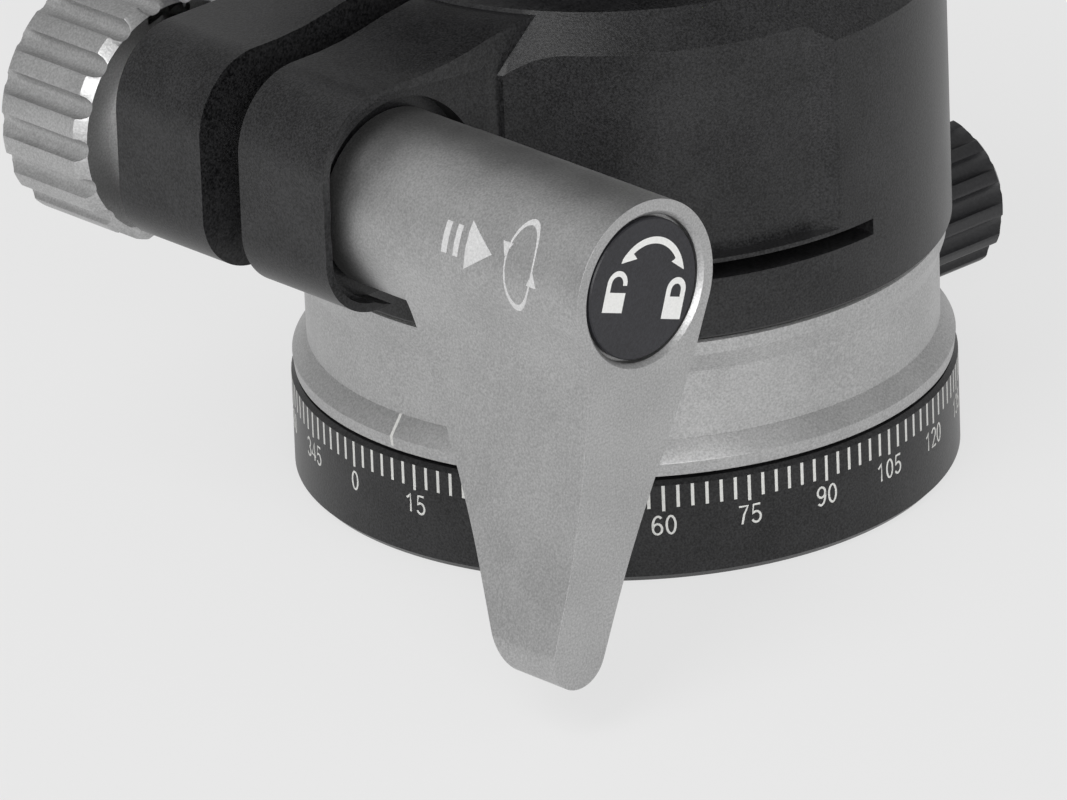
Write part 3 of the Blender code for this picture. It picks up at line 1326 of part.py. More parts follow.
def plate_outline():
    """End view of the camera plate: dovetail foot, neck and deck."""
    foot = DOVETAIL_HALF - GAP
    right = [
        (foot, PLATE_BOTTOM),
        (foot, PLATE_BOTTOM + DOVETAIL_LIP - GAP),
        (PLATE_NECK_HALF, PLATE_BOTTOM + DOVETAIL_LIP - GAP + foot - PLATE_NECK_HALF),
        (PLATE_NECK_HALF, PLATE_DECK_BOTTOM),
        (PLATE_DECK_HALF, PLATE_DECK_BOTTOM),
        (PLATE_DECK_HALF, PLATE_TOP),
    ]
    return right + [(-y, z) for y, z in reversed(right)]


def make_plate():
    half = PLATE_LENGTH / 2
    plate = extruded("camera_plate", [plate_outline()], PLATE_LENGTH, "black_anodised", CROSSWISE)
    trim = extruded(
        "plate_corners",
        [rounded_box((-half, -PLATE_DECK_HALF), (half, PLATE_DECK_HALF), PLATE_CORNER)],
        PLATE_TOP - PLATE_BOTTOM + 2 * OVERRUN,
        at=(0.0, 0.0, (PLATE_TOP + PLATE_BOTTOM) / 2),
    )
    combine(plate, trim, "INTERSECT")
    pad_half = (half - PAD_MARGIN, PLATE_DECK_HALF - PAD_MARGIN)
    recess = extruded(
        "pad_recess",
        [rounded_box((-pad_half[0], -pad_half[1]), pad_half, PLATE_CORNER)],
        PAD_RECESS + OVERRUN,
        at=(0.0, 0.0, PAD_FLOOR + (PAD_RECESS + OVERRUN) / 2),
    )
    combine(plate, recess)
    head_bottom = PLATE_BOTTOM + GAP
    head_top = head_bottom + CAMERA_SCREW_HEAD_HEIGHT
    well = turned(
        "screw_well",
        [
            (0.0, PLATE_TOP + OVERRUN),
            (CAMERA_SCREW_RADIUS + GAP, PLATE_TOP + OVERRUN),
            (CAMERA_SCREW_RADIUS + GAP, head_top + GAP + CLIP_THICKNESS + GAP),
            (CAMERA_SCREW_HEAD_RADIUS + GAP, head_top + GAP + CLIP_THICKNESS + GAP),
            (CAMERA_SCREW_HEAD_RADIUS + GAP, PLATE_BOTTOM - OVERRUN),
            (0.0, PLATE_BOTTOM - OVERRUN),
        ],
    )
    combine(plate, well)
    screw = turned(
        "camera_screw",
        [
            (0.0, PAD_TOP + CAMERA_SCREW_REACH),
            (CAMERA_SCREW_RADIUS, PAD_TOP + CAMERA_SCREW_REACH),
            (CAMERA_SCREW_RADIUS, head_top),
            (CAMERA_SCREW_HEAD_RADIUS, head_top),
            (CAMERA_SCREW_HEAD_RADIUS, head_bottom),
            (0.0, head_bottom),
        ],
        "bright_steel",
        SMALL_STEPS,
    )
    slot_half = COIN_SLOT_WIDTH / 2
    reach = CAMERA_SCREW_HEAD_RADIUS + OVERRUN
    slot = block(
        "coin_slot",
        (-reach, -slot_half, head_bottom - OVERRUN),
        (reach, slot_half, head_bottom + COIN_SLOT_DEPTH),
    )
    combine(screw, slot)
    clip_low = head_top + GAP
    turned(
        "screw_clip",
        washer(CLIP_RADIUS, CAMERA_SCREW_RADIUS + GAP, clip_low, clip_low + CLIP_THICKNESS),
        "bright_steel",
        SMALL_STEPS,
    )
    make_stop_screws(plate)
    make_pad(pad_half)


def make_stop_screws(plate):
    low = PLATE_BOTTOM - STOP_SCREW_DROP
    high = PLATE_BOTTOM + STOP_SCREW_GRIP
    for name, x in (("stop_screw_1", -STOP_SCREW_OFFSET), ("stop_screw_2", STOP_SCREW_OFFSET)):
        centre = (x, STOP_SCREW_ROW, 0.0)
        hole = turned(
            name + "_hole",
            disc(STOP_SCREW_RADIUS + GAP, PLATE_BOTTOM - OVERRUN, high + GAP),
            steps=SMALL_STEPS,
            at=centre,
        )
        combine(plate, hole)
        turned(name, disc(STOP_SCREW_RADIUS, low, high), "bright_steel", SMALL_STEPS, at=centre)


def make_pad(pad_half):
    half = (pad_half[0] - GAP, pad_half[1] - GAP)
    low = PAD_FLOOR + GAP
    body = PAD_THICKNESS - PAD_RIB_HEIGHT
    pad = extruded(
        "plate_pad",
        [rounded_box((-half[0], -half[1]), half, PLATE_CORNER - GAP)],
        PAD_THICKNESS,
        "black_rubber",
        at=(0.0, 0.0, low + PAD_THICKNESS / 2),
    )
    pitch = 2 * half[0] / PAD_RIB_COUNT
    groove_half = pitch * PAD_GROOVE_SHARE / 2
    for index in range(1, PAD_RIB_COUNT):
        x = -half[0] + index * pitch
        groove = block(
            f"pad_groove_{index}",
            (x - groove_half, -half[1] + PAD_MARGIN, low + body),
            (x + groove_half, half[1] - PAD_MARGIN, PAD_TOP + OVERRUN),
        )
        combine(pad, groove)
    hole = turned(
        "pad_hole",
        disc(CAMERA_SCREW_RADIUS + GAP, low - OVERRUN, PAD_TOP + OVERRUN),
        steps=SMALL_STEPS,
    )
    combine(pad, hole)


def shade_round_pieces():
    for item in PARTS.objects:
        item.data.shade_smooth()
        item.data.set_sharp_from_angle(angle=SHARP_ANGLE)


clear_scene()
PARTS = new_collection("ball_head")
CUTTERS = new_collection("cutters")
make_base()
make_ring()
make_collar()
make_cup_spring()
make_ball()
make_bolt()
make_lever()
make_friction_knob()
make_pan_lock()
make_clamp()
make_plate()
shade_round_pieces()
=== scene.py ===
import math

import bpy
from mathutils import Matrix, Vector


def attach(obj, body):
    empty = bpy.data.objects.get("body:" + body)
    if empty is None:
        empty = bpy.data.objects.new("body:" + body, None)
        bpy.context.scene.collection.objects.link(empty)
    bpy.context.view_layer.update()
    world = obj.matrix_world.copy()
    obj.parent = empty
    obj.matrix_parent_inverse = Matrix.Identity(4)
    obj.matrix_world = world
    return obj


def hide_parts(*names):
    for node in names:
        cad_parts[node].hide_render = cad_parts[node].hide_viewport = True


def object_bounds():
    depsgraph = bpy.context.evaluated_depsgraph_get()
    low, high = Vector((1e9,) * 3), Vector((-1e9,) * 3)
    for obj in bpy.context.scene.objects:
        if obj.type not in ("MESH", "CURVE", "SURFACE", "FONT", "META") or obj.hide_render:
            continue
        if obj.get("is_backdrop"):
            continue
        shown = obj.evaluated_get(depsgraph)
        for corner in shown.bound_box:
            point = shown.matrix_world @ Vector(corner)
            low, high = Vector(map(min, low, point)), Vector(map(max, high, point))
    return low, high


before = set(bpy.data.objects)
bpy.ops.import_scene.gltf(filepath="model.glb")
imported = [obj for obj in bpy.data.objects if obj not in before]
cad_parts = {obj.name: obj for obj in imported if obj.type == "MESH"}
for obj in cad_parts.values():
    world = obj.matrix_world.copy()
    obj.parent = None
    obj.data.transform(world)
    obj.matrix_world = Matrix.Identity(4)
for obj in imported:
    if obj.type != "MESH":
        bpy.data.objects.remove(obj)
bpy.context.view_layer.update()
for cad_object in bpy.context.selected_objects:
    cad_object.select_set(False)


# Base and its scale
# The base is the black anodised ring that stands on the tripod. It is turned from aluminium bar,
# blasted with glass beads and dyed black, and its scale is engraved and filled with white paint.
MM = 0.001


def linear(code):
    """Turn an sRGB hex colour into the linear one that a shader takes."""
    shares = [int(code[at:at + 2], 16) / 255 for at in (0, 2, 4)]
    curve = [c / 12.92 if c <= 0.04045 else ((c + 0.055) / 1.055) ** 2.4 for c in shares]
    return (curve[0], curve[1], curve[2], 1.0)


def add_node(tree, kind, settings, links):
    """Add a node, set its fields and input values, and link its inputs to other nodes' outputs."""
    node = tree.nodes.new(kind)
    for name, value in settings.items():
        if name in node.inputs:
            node.inputs[name].default_value = value
        else:
            setattr(node, name, value)
    for name, output in links.items():
        tree.links.new(output, node.inputs[name])
    return node


def new_material(name):
    """Start a material with an empty node tree and its output."""
    material = bpy.data.materials.new(name)
    material.use_nodes = True
    material.node_tree.nodes.clear()
    return material, material.node_tree


def texture(tree, size, detail, roughness=0.5):
    """A texture in the object's own space, its spots about as large as the given size."""
    place = add_node(tree, "ShaderNodeTexCoord", {}, {})
    settings = {"Scale": 1 / size, "Detail": detail, "Roughness": roughness}
    return add_node(tree, "ShaderNodeTexNoise", settings, {"Vector": place.outputs["Object"]})


def toned(tree, source, dark, light, start=0.0, end=1.0):
    """A tone between two colours, led by a texture."""
    tone = add_node(tree, "ShaderNodeValToRGB", {}, {"Fac": source})
    for stop, code, at in zip(tone.color_ramp.elements, (dark, light), (start, end)):
        stop.position = at
        stop.color = linear(code)
    return tone.outputs["Color"]


def surfaced(tree, settings, links):
    """Close a material with its surface."""
    skin = add_node(tree, "ShaderNodeBsdfPrincipled", settings, links)
    add_node(tree, "ShaderNodeOutputMaterial", {}, {"Surface": skin.outputs["BSDF"]})


def blasted_metal(name, dark, light, metallic, roughness, depth):
    """Anodised aluminium, blasted with beads: an even satin with a fine grain of small dents."""
    material, tree = new_material(name)
    beads = texture(tree, GRAIN_SIZE, 2.0, 0.6)
    cloud = texture(tree, CLOUD_SIZE, 3.0)
    mixed = add_node(tree, "ShaderNodeMix", {"data_type": "FLOAT", "Factor": CLOUD_SHARE},
                     {"A": beads.outputs["Fac"], "B": cloud.outputs["Fac"]})
    satin = add_node(tree, "ShaderNodeMapRange",
                     {"To Min": roughness - SATIN_SPREAD, "To Max": roughness + SATIN_SPREAD},
                     {"Value": cloud.outputs["Fac"]})
    dents = add_node(tree, "ShaderNodeBump", {"Strength": 0.6, "Distance": depth},
                     {"Height": beads.outputs["Fac"]})
    surfaced(tree, {"Metallic": metallic, "Specular IOR Level": SATIN_SPECULAR},
             {"Base Color": toned(tree, mixed.outputs["Result"], dark, light, 0.36, 0.64),
              "Roughness": satin.outputs["Result"], "Normal": dents.outputs["Normal"]})
    return material


# Bead blasting at 100 mesh leaves dents of about 0.15 mm, which are drawn at 0.2 mm to show in the
# picture.
GRAIN_SIZE = 0.20 * MM
GRAIN_DEPTH = 0.030 * MM
CLOUD_SIZE = 6.0 * MM
CLOUD_SHARE = 0.25
SATIN_SPREAD = 0.05
SATIN_SPECULAR = 0.34
anodised_black = blasted_metal("bead_blasted_black_anodised_aluminium", "0c0c0d", "303031",
                               0.0, 0.36, GRAIN_DEPTH)


def white_paint(name, dark, light, roughness):
    """White paint: flat and a little uneven."""
    material, tree = new_material(name)
    speck = texture(tree, GRAIN_SIZE, 2.0)
    surfaced(tree, {"Roughness": roughness}, {"Base Color": toned(tree, speck.outputs["Fac"], dark, light)})
    return material


engraving_white = white_paint("white_engraving_enamel", "c4c4c2", "ecece8", 0.55)


def pick_nothing():
    """Deselect every object."""
    for item in bpy.context.selected_objects:
        item.select_set(False)


def pick(item):
    """Select one object alone and make it the active one."""
    pick_nothing()
    item.select_set(True)
    bpy.context.view_layer.objects.active = item


def settle(item):
    """Bake the object's place, turn and size into its mesh."""
    pick(item)
    bpy.ops.object.transform_apply(location=True, rotation=True, scale=True)


def round_off(item, degrees):
    """Smooth the shading up to an edge angle."""
    pick(item)
    bpy.ops.object.shade_smooth_by_angle(angle=math.radians(degrees))


def lathe(name, profile, sides=192):
    """Turn a profile of (radius, height) about the upright axis: a ring where it closes, else a solid."""
    radius, height = profile[0]
    pick_nothing()
    bpy.ops.mesh.primitive_circle_add(vertices=sides, radius=radius, location=(0, 0, height))
    item = bpy.context.active_object
    item.name = name
    bpy.ops.object.mode_set(mode="EDIT")
    bpy.ops.mesh.select_mode(type="EDGE")
    bpy.ops.mesh.select_all(action="SELECT")
    before = profile[0]
    for step in profile[1:]:
        bpy.ops.mesh.extrude_edges_move()
        share = step[0] / before[0]
        bpy.ops.transform.resize(value=(share, share, 1))
        bpy.ops.transform.translate(value=(0, 0, step[1] - before[1]))
        before = step
    bpy.ops.mesh.select_all(action="SELECT")
    bpy.ops.mesh.remove_doubles(threshold=LATHE_MERGE)
    bpy.ops.mesh.fill_holes(sides=0)
    bpy.ops.mesh.select_all(action="SELECT")
    bpy.ops.mesh.normals_make_consistent(inside=False)
    bpy.ops.object.mode_set(mode="OBJECT")
    settle(item)
    return item


LATHE_MERGE = 0.002 * MM
BASE_RADIUS = 30.0 * MM
BASE_HEIGHT = 9.6 * MM
BASE_CHAMFER = 0.4 * MM
BASE_FOOT_CHAMFER = 0.6 * MM
SEAT_RADIUS = 25.0 * MM
SEAT_HEIGHT = 8.6 * MM
HUB_RADIUS = 12.0 * MM
HUB_TOP = 16.0 * MM
HUB_HOLE = 2.7 * MM
BUSH_HOLE = 7.0 * MM
BUSH_HOLE_TOP = 8.0 * MM
base = lathe("graduated_base", [
    (BUSH_HOLE, 0),
    (BASE_RADIUS - BASE_FOOT_CHAMFER, 0),
    (BASE_RADIUS, BASE_FOOT_CHAMFER),
    (BASE_RADIUS, BASE_HEIGHT - BASE_CHAMFER),
    (BASE_RADIUS - BASE_CHAMFER, BASE_HEIGHT),
    (SEAT_RADIUS, BASE_HEIGHT),
    (SEAT_RADIUS, SEAT_HEIGHT),
    (HUB_RADIUS, SEAT_HEIGHT),
    (HUB_RADIUS, HUB_TOP),
    (HUB_HOLE, HUB_TOP),
    (HUB_HOLE, BUSH_HOLE_TOP),
    (BUSH_HOLE, BUSH_HOLE_TOP),
    (BUSH_HOLE, 0),
])
round_off(base, 20)
base.data.materials.append(anodised_black)
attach(base, "base")
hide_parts("pan_base")

# The scale: a tick every 2.5 degrees, longer ones every 15, and the degrees under the long ones. The
# first tick stands a little to the left of the ears.
TICK_PROUD = 0.012 * MM
TICK_DEPTH = 0.05 * MM
TICK_WIDTH = 0.29 * MM
TICK_TOP = BASE_HEIGHT - BASE_CHAMFER
SHORT_TICK = 2.12 * MM
LONG_TICK = 2.43 * MM
TICK_COUNT = 144
TICKS_PER_LABEL = 6
SCALE_ZERO = math.radians(172.4)


def scale_tick(name, length):
    """One engraved line: a thin bar on the base's rim."""
    middle = BASE_RADIUS + TICK_PROUD - TICK_DEPTH / 2
    pick_nothing()
    bpy.ops.mesh.primitive_cube_add(size=1, location=(middle, 0, TICK_TOP - length / 2))
    tick = bpy.context.active_object
    tick.name = name
    tick.scale = (TICK_DEPTH, TICK_WIDTH, length)
    settle(tick)
    return tick


def copy_of(item):
    """Copy an object with a mesh of its own."""
    twin = item.copy()
    twin.data = item.data.copy()
    bpy.context.scene.collection.objects.link(twin)
    return twin


def joined(name, items):
    """Join objects into one."""
    pick_nothing()
    for item in items:
        item.select_set(True)
    bpy.context.view_layer.objects.active = items[0]
    bpy.ops.object.join()
    items[0].name = name
    items[0].data.name = name
    settle(items[0])
    return items[0]


short_tick = scale_tick("short_tick", SHORT_TICK)
long_tick = scale_tick("long_tick", LONG_TICK)
ticks = []
for number in range(TICK_COUNT):
    tick = copy_of(short_tick if number % TICKS_PER_LABEL else long_tick)
    tick.matrix_world = Matrix.Rotation(SCALE_ZERO + math.tau * number / TICK_COUNT, 4, "Z")
    ticks.append(tick)
for pattern in (short_tick, long_tick):
    bpy.data.objects.remove(pattern)
ticks = joined("scale_ticks", ticks)
ticks.data.materials.append(engraving_white)
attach(ticks, "base")

# The degrees are cut with a round-nosed tool in plain upright digits. A digit is drawn as the strokes
# of that tool, in shares of the digit's height.
DIGIT_HEIGHT = 1.98 * MM
DIGIT_TOP = TICK_TOP - 2.79 * MM
DIGIT_PITCH = 1.22 * MM
STROKE_WIDTH = 0.27 * MM
STROKE_MIDDLE_SHARE = 0.28
BOW_STEPS = 16


def bow(centre, across, up, first, last):
    """Points of an oval run of a stroke, between two angles in degrees."""
    points = []
    for step in range(BOW_STEPS + 1):
        angle = math.radians(first + (last - first) * step / BOW_STEPS)
        points.append((centre[0] + across * math.cos(angle), centre[1] + up * math.sin(angle)))
    return points


six = [bow((0.28, 0.32), 0.205, 0.25, 0, 360), bow((0.31, 0.47), 0.235, 0.46, 195, 52)]
DIGIT_SHARES = {
    "0": [bow((0.28, 0.50), 0.20, 0.43, 0, 360)],
    "1": [[(0.10, 0.72), (0.22, 0.80), (0.31, 0.93), (0.31, 0.07)]],
    "2": [bow((0.28, 0.69), 0.20, 0.24, 165, -35) + [(0.08, 0.07), (0.50, 0.07)]],
    "3": [bow((0.27, 0.715), 0.185, 0.215, 155, -80), bow((0.27, 0.285), 0.21, 0.215, 80, -160)],
    "4": [[(0.52, 0.30), (0.04, 0.30), (0.38, 0.93), (0.38, 0.07)]],
    "5": [[(0.47, 0.93), (0.15, 0.93), (0.10, 0.50)] + bow((0.27, 0.33), 0.21, 0.26, 125, -155)],
    "6": six,
    "7": [[(0.07, 0.93), (0.49, 0.93), (0.30, 0.52), (0.21, 0.07)]],
    "8": [bow((0.28, 0.71), 0.175, 0.215, 0, 360), bow((0.28, 0.28), 0.205, 0.21, 0, 360)],
    "9": [[(2 * STROKE_MIDDLE_SHARE - x, 1 - y) for x, y in stroke] for stroke in six],
}


def digit_mesh(character):
    """One digit as thin round strokes, its foot on the origin and centred over it."""
    curve = bpy.data.curves.new("digit", "CURVE")
    curve.dimensions = "3D"
    curve.bevel_depth = STROKE_WIDTH / 2
    curve.bevel_resolution = 1
    curve.use_fill_caps = True
    for stroke in DIGIT_SHARES[character]:
        spline = curve.splines.new("POLY")
        spline.points.add(len(stroke) - 1)
        for point, (x, y) in zip(spline.points, stroke):
            point.co = ((x - STROKE_MIDDLE_SHARE) * DIGIT_HEIGHT, y * DIGIT_HEIGHT, 0, 1)
    digit = bpy.data.objects.new("digit", curve)
    bpy.context.scene.collection.objects.link(digit)
    pick(digit)
    bpy.ops.object.convert(target="MESH")
    digit = bpy.context.active_object
    digit.scale = (1, 1, TICK_DEPTH / STROKE_WIDTH)
    settle(digit)
    return digit


digits = {character: digit_mesh(character) for character in "0123456789"}
labels = []
for number in range(TICK_COUNT // TICKS_PER_LABEL):
    middle = SCALE_ZERO + math.tau * number * TICKS_PER_LABEL / TICK_COUNT
    text = str(number * 360 * TICKS_PER_LABEL // TICK_COUNT)
    for place_in_label, character in enumerate(text):
        along = (place_in_label - (len(text) - 1) / 2) * DIGIT_PITCH
        angle = middle + along / BASE_RADIUS
        outwards = Vector((math.cos(angle), math.sin(angle), 0))
        turn = Matrix(((-outwards.y, 0, outwards.x), (outwards.x, 0, outwards.y), (0, 1, 0))).to_4x4()
        reach = outwards * (BASE_RADIUS + TICK_PROUD - TICK_DEPTH / 2)
        reach.z = DIGIT_TOP - DIGIT_HEIGHT
        digit = copy_of(digits[character])
        digit.matrix_world = Matrix.Translation(reach) @ turn
        labels.append(digit)
for pattern in digits.values():
    bpy.data.objects.remove(pattern)
labels = joined("scale_digits", labels)
labels.data.materials.append(engraving_white)
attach(labels, "base")


# Index ring
# The silver ring carries the index mark and turns on the base. It is turned from aluminium bar, its
# edges broken by the lathe tool, then blasted and anodised clear, which gives a cool grey satin. The
# fine line of the index mark is engraved across its lip and filled with white.
anodised_grey = blasted_metal("bead_blasted_clear_anodised_aluminium", "a7a7a7", "c5c5c5",
                              1.0, 0.48, GRAIN_DEPTH)
RING_BOTTOM = 10.0 * MM
RING_TOP = 22.4 * MM
RING_EDGE = 0.2 * MM
RING_FLANGE_RADIUS = 29.2 * MM
RING_FLANGE_BOTTOM = 21.0 * MM
RING_NECK_RADIUS = 28.55 * MM
RING_NECK_TOP = 19.2 * MM
RING_CREASE_RADIUS = 28.5 * MM
RING_CREASE_HEIGHT = 12.95 * MM
RING_LIP_RADIUS = 29.85 * MM
RING_LIP_HEIGHT = 11.3 * MM
RING_FOOT_RADIUS = 29.7 * MM
RING_FLOOR = 15.0 * MM
RING_BORE = 12.3 * MM
CAVITY_RADIUS = 21.3 * MM
LIP_BREAK = 0.12 * MM


def cut(item, tool, operation="DIFFERENCE"):
    """Cut one solid with another, join them, or keep what they share, and drop the tool."""
    pick(item)
    modifier = item.modifiers.new("cut", "BOOLEAN")
    modifier.operation = operation
    modifier.solver = "EXACT"
    modifier.object = tool
    bpy.ops.object.modifier_apply(modifier=modifier.name)
    bpy.data.objects.remove(tool)


def rod(name, radius, low, high, sides=48):
    """An upright round bar."""
    return lathe(name, [(radius, low), (radius, high)], sides)


def laid(item, axis, at):
    """Lay an upright shape along X or Y, its foot on the given place."""
    turn = Matrix.Rotation(math.pi / 2, 4, "Y") if axis == "X" else Matrix.Rotation(-math.pi / 2, 4, "X")
    item.matrix_world = Matrix.Translation(at) @ turn
    settle(item)
    return item


ring = lathe("index_ring_grey", [
    (RING_BORE, RING_BOTTOM),
    (RING_FOOT_RADIUS, RING_BOTTOM),
    (RING_LIP_RADIUS, RING_LIP_HEIGHT - LIP_BREAK),
    (RING_LIP_RADIUS - LIP_BREAK / 2, RING_LIP_HEIGHT),
    (RING_CREASE_RADIUS, RING_CREASE_HEIGHT),
    (RING_NECK_RADIUS, RING_NECK_TOP),
    (RING_FLANGE_RADIUS, RING_FLANGE_BOTTOM),
    (RING_FLANGE_RADIUS, RING_TOP - RING_EDGE),
    (RING_FLANGE_RADIUS - RING_EDGE, RING_TOP),
    (CAVITY_RADIUS, RING_TOP),
    (CAVITY_RADIUS, RING_FLOOR),
    (RING_BORE, RING_FLOOR),
    (RING_BORE, RING_BOTTOM),
])
PAN_LOCK_HEIGHT = 12.5 * MM
PAN_LOCK_HOLE = 1.8 * MM
JUST_PAST = 1.0 * MM
hole = rod("pan_lock_hole", PAN_LOCK_HOLE, RING_BORE - JUST_PAST, BASE_RADIUS + JUST_PAST)
cut(ring, laid(hole, "X", (0, 0, PAN_LOCK_HEIGHT)))
round_off(ring, 15)
ring.data.materials.append(anodised_grey)
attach(ring, "housing")
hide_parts("index_ring")

# The index mark: a fine line across the ring's lip, over the scale.
INDEX_ANGLE = math.radians(182.2)
INDEX_WIDTH = 0.30 * MM
INDEX_PROUD = 0.015 * MM
INDEX_LOW = 10.25 * MM
INDEX_LOW_SHARE = 0.2
INDEX_PROFILE = [
    (RING_FOOT_RADIUS + INDEX_LOW_SHARE * (RING_LIP_RADIUS - RING_FOOT_RADIUS), INDEX_LOW),
    (RING_LIP_RADIUS, RING_LIP_HEIGHT - LIP_BREAK),
    (RING_LIP_RADIUS - LIP_BREAK / 2, RING_LIP_HEIGHT),
    (RING_CREASE_RADIUS, RING_CREASE_HEIGHT),
]


def index_line():
    """A flat bar that follows the lip and its chamfer."""
    radius, height = INDEX_PROFILE[0]
    pick_nothing()
    bpy.ops.mesh.primitive_plane_add(size=1, location=(radius, 0, height))
    line = bpy.context.active_object
    line.scale = (2 * TICK_DEPTH, INDEX_WIDTH, 1)
    settle(line)
    bpy.ops.object.mode_set(mode="EDIT")
    bpy.ops.mesh.select_all(action="SELECT")
    before = INDEX_PROFILE[0]
    for point in INDEX_PROFILE[1:]:
        bpy.ops.mesh.extrude_region_move()
        bpy.ops.transform.translate(value=(point[0] - before[0], 0, point[1] - before[1]))
        before = point
    bpy.ops.mesh.select_all(action="SELECT")
    bpy.ops.mesh.normals_make_consistent(inside=False)
    bpy.ops.transform.translate(value=(INDEX_PROUD - TICK_DEPTH, 0, 0))
    bpy.ops.object.mode_set(mode="OBJECT")
    line.matrix_world = Matrix.Rotation(INDEX_ANGLE, 4, "Z")
    settle(line)
    return line


mark = index_line()
mark.name = "index_mark"
mark.data.materials.append(engraving_white)
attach(mark, "housing")


# Collar with its ears
# The black collar holds the ball. It is milled from an aluminium billet: turned outside and in, scooped
# out beside the two ears, then sawn through so that the ears can be pulled together. Its edges are
# broken, and it is blasted and dyed black like the base.
BALL_HEIGHT = 39.8 * MM
COLLAR_RADIUS = 29.8 * MM
COLLAR_BOTTOM = 22.7 * MM
COLLAR_FOOT_EDGE = 0.3 * MM
COLLAR_SHOULDER = 48.0 * MM
COLLAR_TOP = 52.5 * MM
COLLAR_TOP_RADIUS = 25.2 * MM
MOUTH_RADIUS = 17.6 * MM
MOUTH_FLARE = 1.0 * MM
SAW_SLOT_BOTTOM = 28.3 * MM
SAW_SLOT_TOP = 29.8 * MM
SAW_SLOT_END = 2.75 * MM
SLIT_HALF = 2.5 * MM
BOLT_X = -37.8 * MM
BOLT_HEIGHT = 39.5 * MM
BOLT_HOLE = 3.3 * MM
EAR_FACE = 13.3 * MM
EAR_END = -47.7 * MM
EAR_ROOT = -21.6 * MM
EAR_BOTTOM = 30.6 * MM
EAR_TOP = 50.7 * MM
EAR_BOTTOM_CORNER = 6.0 * MM
EAR_TOP_CORNER = 6.9 * MM
SWEEP_START = 38.0 * MM
SWEEP_END = 26.2 * MM
SWEEP_RISE = 1.6 * MM
SWEEP_SHARES = ((1.0, 0.0), (0.746, 0.125), (0.534, 0.375), (0.322, 0.688), (0.0, 1.0))
SCOOP_FLOOR = 30.2 * MM
SCOOP_RADIUS = 28.2 * MM
SCOOP_FILLET = 15.0 * MM
SCOOP_END = math.radians(-90.7)
SCOOP_RAMP = math.radians(7.5)
SCOOP_CLEAR = 0.3 * MM
POCKET_FLOOR = 11.8 * MM
POCKET_RIM = 0.8 * MM
POCKET_TOP_SHARES = ((0.993, 0.25), (0.164, 1.0), (0.0, 0.125))
COUNTERBORE_RADIUS = 9.2 * MM
COUNTERBORE_FLOOR = -10.2 * MM
OUTSIDE = 22.0 * MM
PAST = 4.0 * MM
ARC_STEPS = 24


def arc(centre, radius, start, end, steps=ARC_STEPS):
    """Points of a round run, both ends among them."""
    points = []
    for step in range(steps + 1):
        angle = start + (end - start) * step / steps
        points.append((centre[0] + radius * math.cos(angle), centre[1] + radius * math.sin(angle)))
    return points


def outlined(name, outline, low, high):
    """A flat outline, raised into a solid between two heights."""
    pick_nothing()
    bpy.ops.mesh.primitive_circle_add(vertices=len(outline), fill_type="NGON", location=(0, 0, 0))
    item = bpy.context.active_object
    item.name = name
    for vertex, point in zip(item.data.vertices, outline):
        vertex.co = (point[0], point[1], low)
    bpy.ops.object.mode_set(mode="EDIT")
    bpy.ops.mesh.select_all(action="SELECT")
    bpy.ops.mesh.extrude_region_move()
    bpy.ops.transform.translate(value=(0, 0, high - low))
    bpy.ops.mesh.select_all(action="SELECT")
    bpy.ops.mesh.remove_doubles(threshold=LATHE_MERGE)
    bpy.ops.mesh.normals_make_consistent(inside=False)
    bpy.ops.object.mode_set(mode="OBJECT")
    return item


def side_view(name, outline, near, far):
    """A solid whose outline is seen along Y: from the near to the far place along Y."""
    item = outlined(name, outline, -far, -near)
    item.matrix_world = Matrix.Rotation(math.pi / 2, 4, "X")
    settle(item)
    return item


def end_view(name, outline, half_length):
    """A solid whose outline is seen along X, as long to either side of the middle."""
    item = outlined(name, outline, -half_length, half_length)
    item.matrix_world = Matrix(((0, 0, 1, 0), (1, 0, 0, 0), (0, 1, 0, 0), (0, 0, 0, 1)))
    settle(item)
    return item


def broken_edges(item, width):
    """Clean a cut solid, break its sharp edges and shade it evenly."""
    pick(item)
    bpy.ops.object.mode_set(mode="EDIT")
    bpy.ops.mesh.select_all(action="SELECT")
    bpy.ops.mesh.remove_doubles(threshold=CUT_MERGE)
    bpy.ops.mesh.dissolve_limited(angle_limit=math.radians(CUT_FLAT_DEGREES))
    bpy.ops.mesh.normals_make_consistent(inside=False)
    bpy.ops.object.mode_set(mode="OBJECT")
    bevel = item.modifiers.new("edges", "BEVEL")
    bevel.width = width
    bevel.segments = 2
    bevel.limit_method = "ANGLE"
    bevel.angle_limit = math.radians(SHARP_DEGREES)
    bevel.harden_normals = False
    bpy.ops.object.modifier_apply(modifier=bevel.name)
    bpy.ops.object.shade_smooth()
    shaded_evenly(item)


def shaded_evenly(item):
    """Let the large faces set the shading, so that they look flat up to their broken edges."""
    weighted = item.modifiers.new("evenly", "WEIGHTED_NORMAL")
    weighted.weight = FACE_WEIGHT
    bpy.ops.object.modifier_apply(modifier=weighted.name)


CUT_MERGE = 0.02 * MM
CUT_FLAT_DEGREES = 0.4
SHARP_DEGREES = 30
FACE_WEIGHT = 90


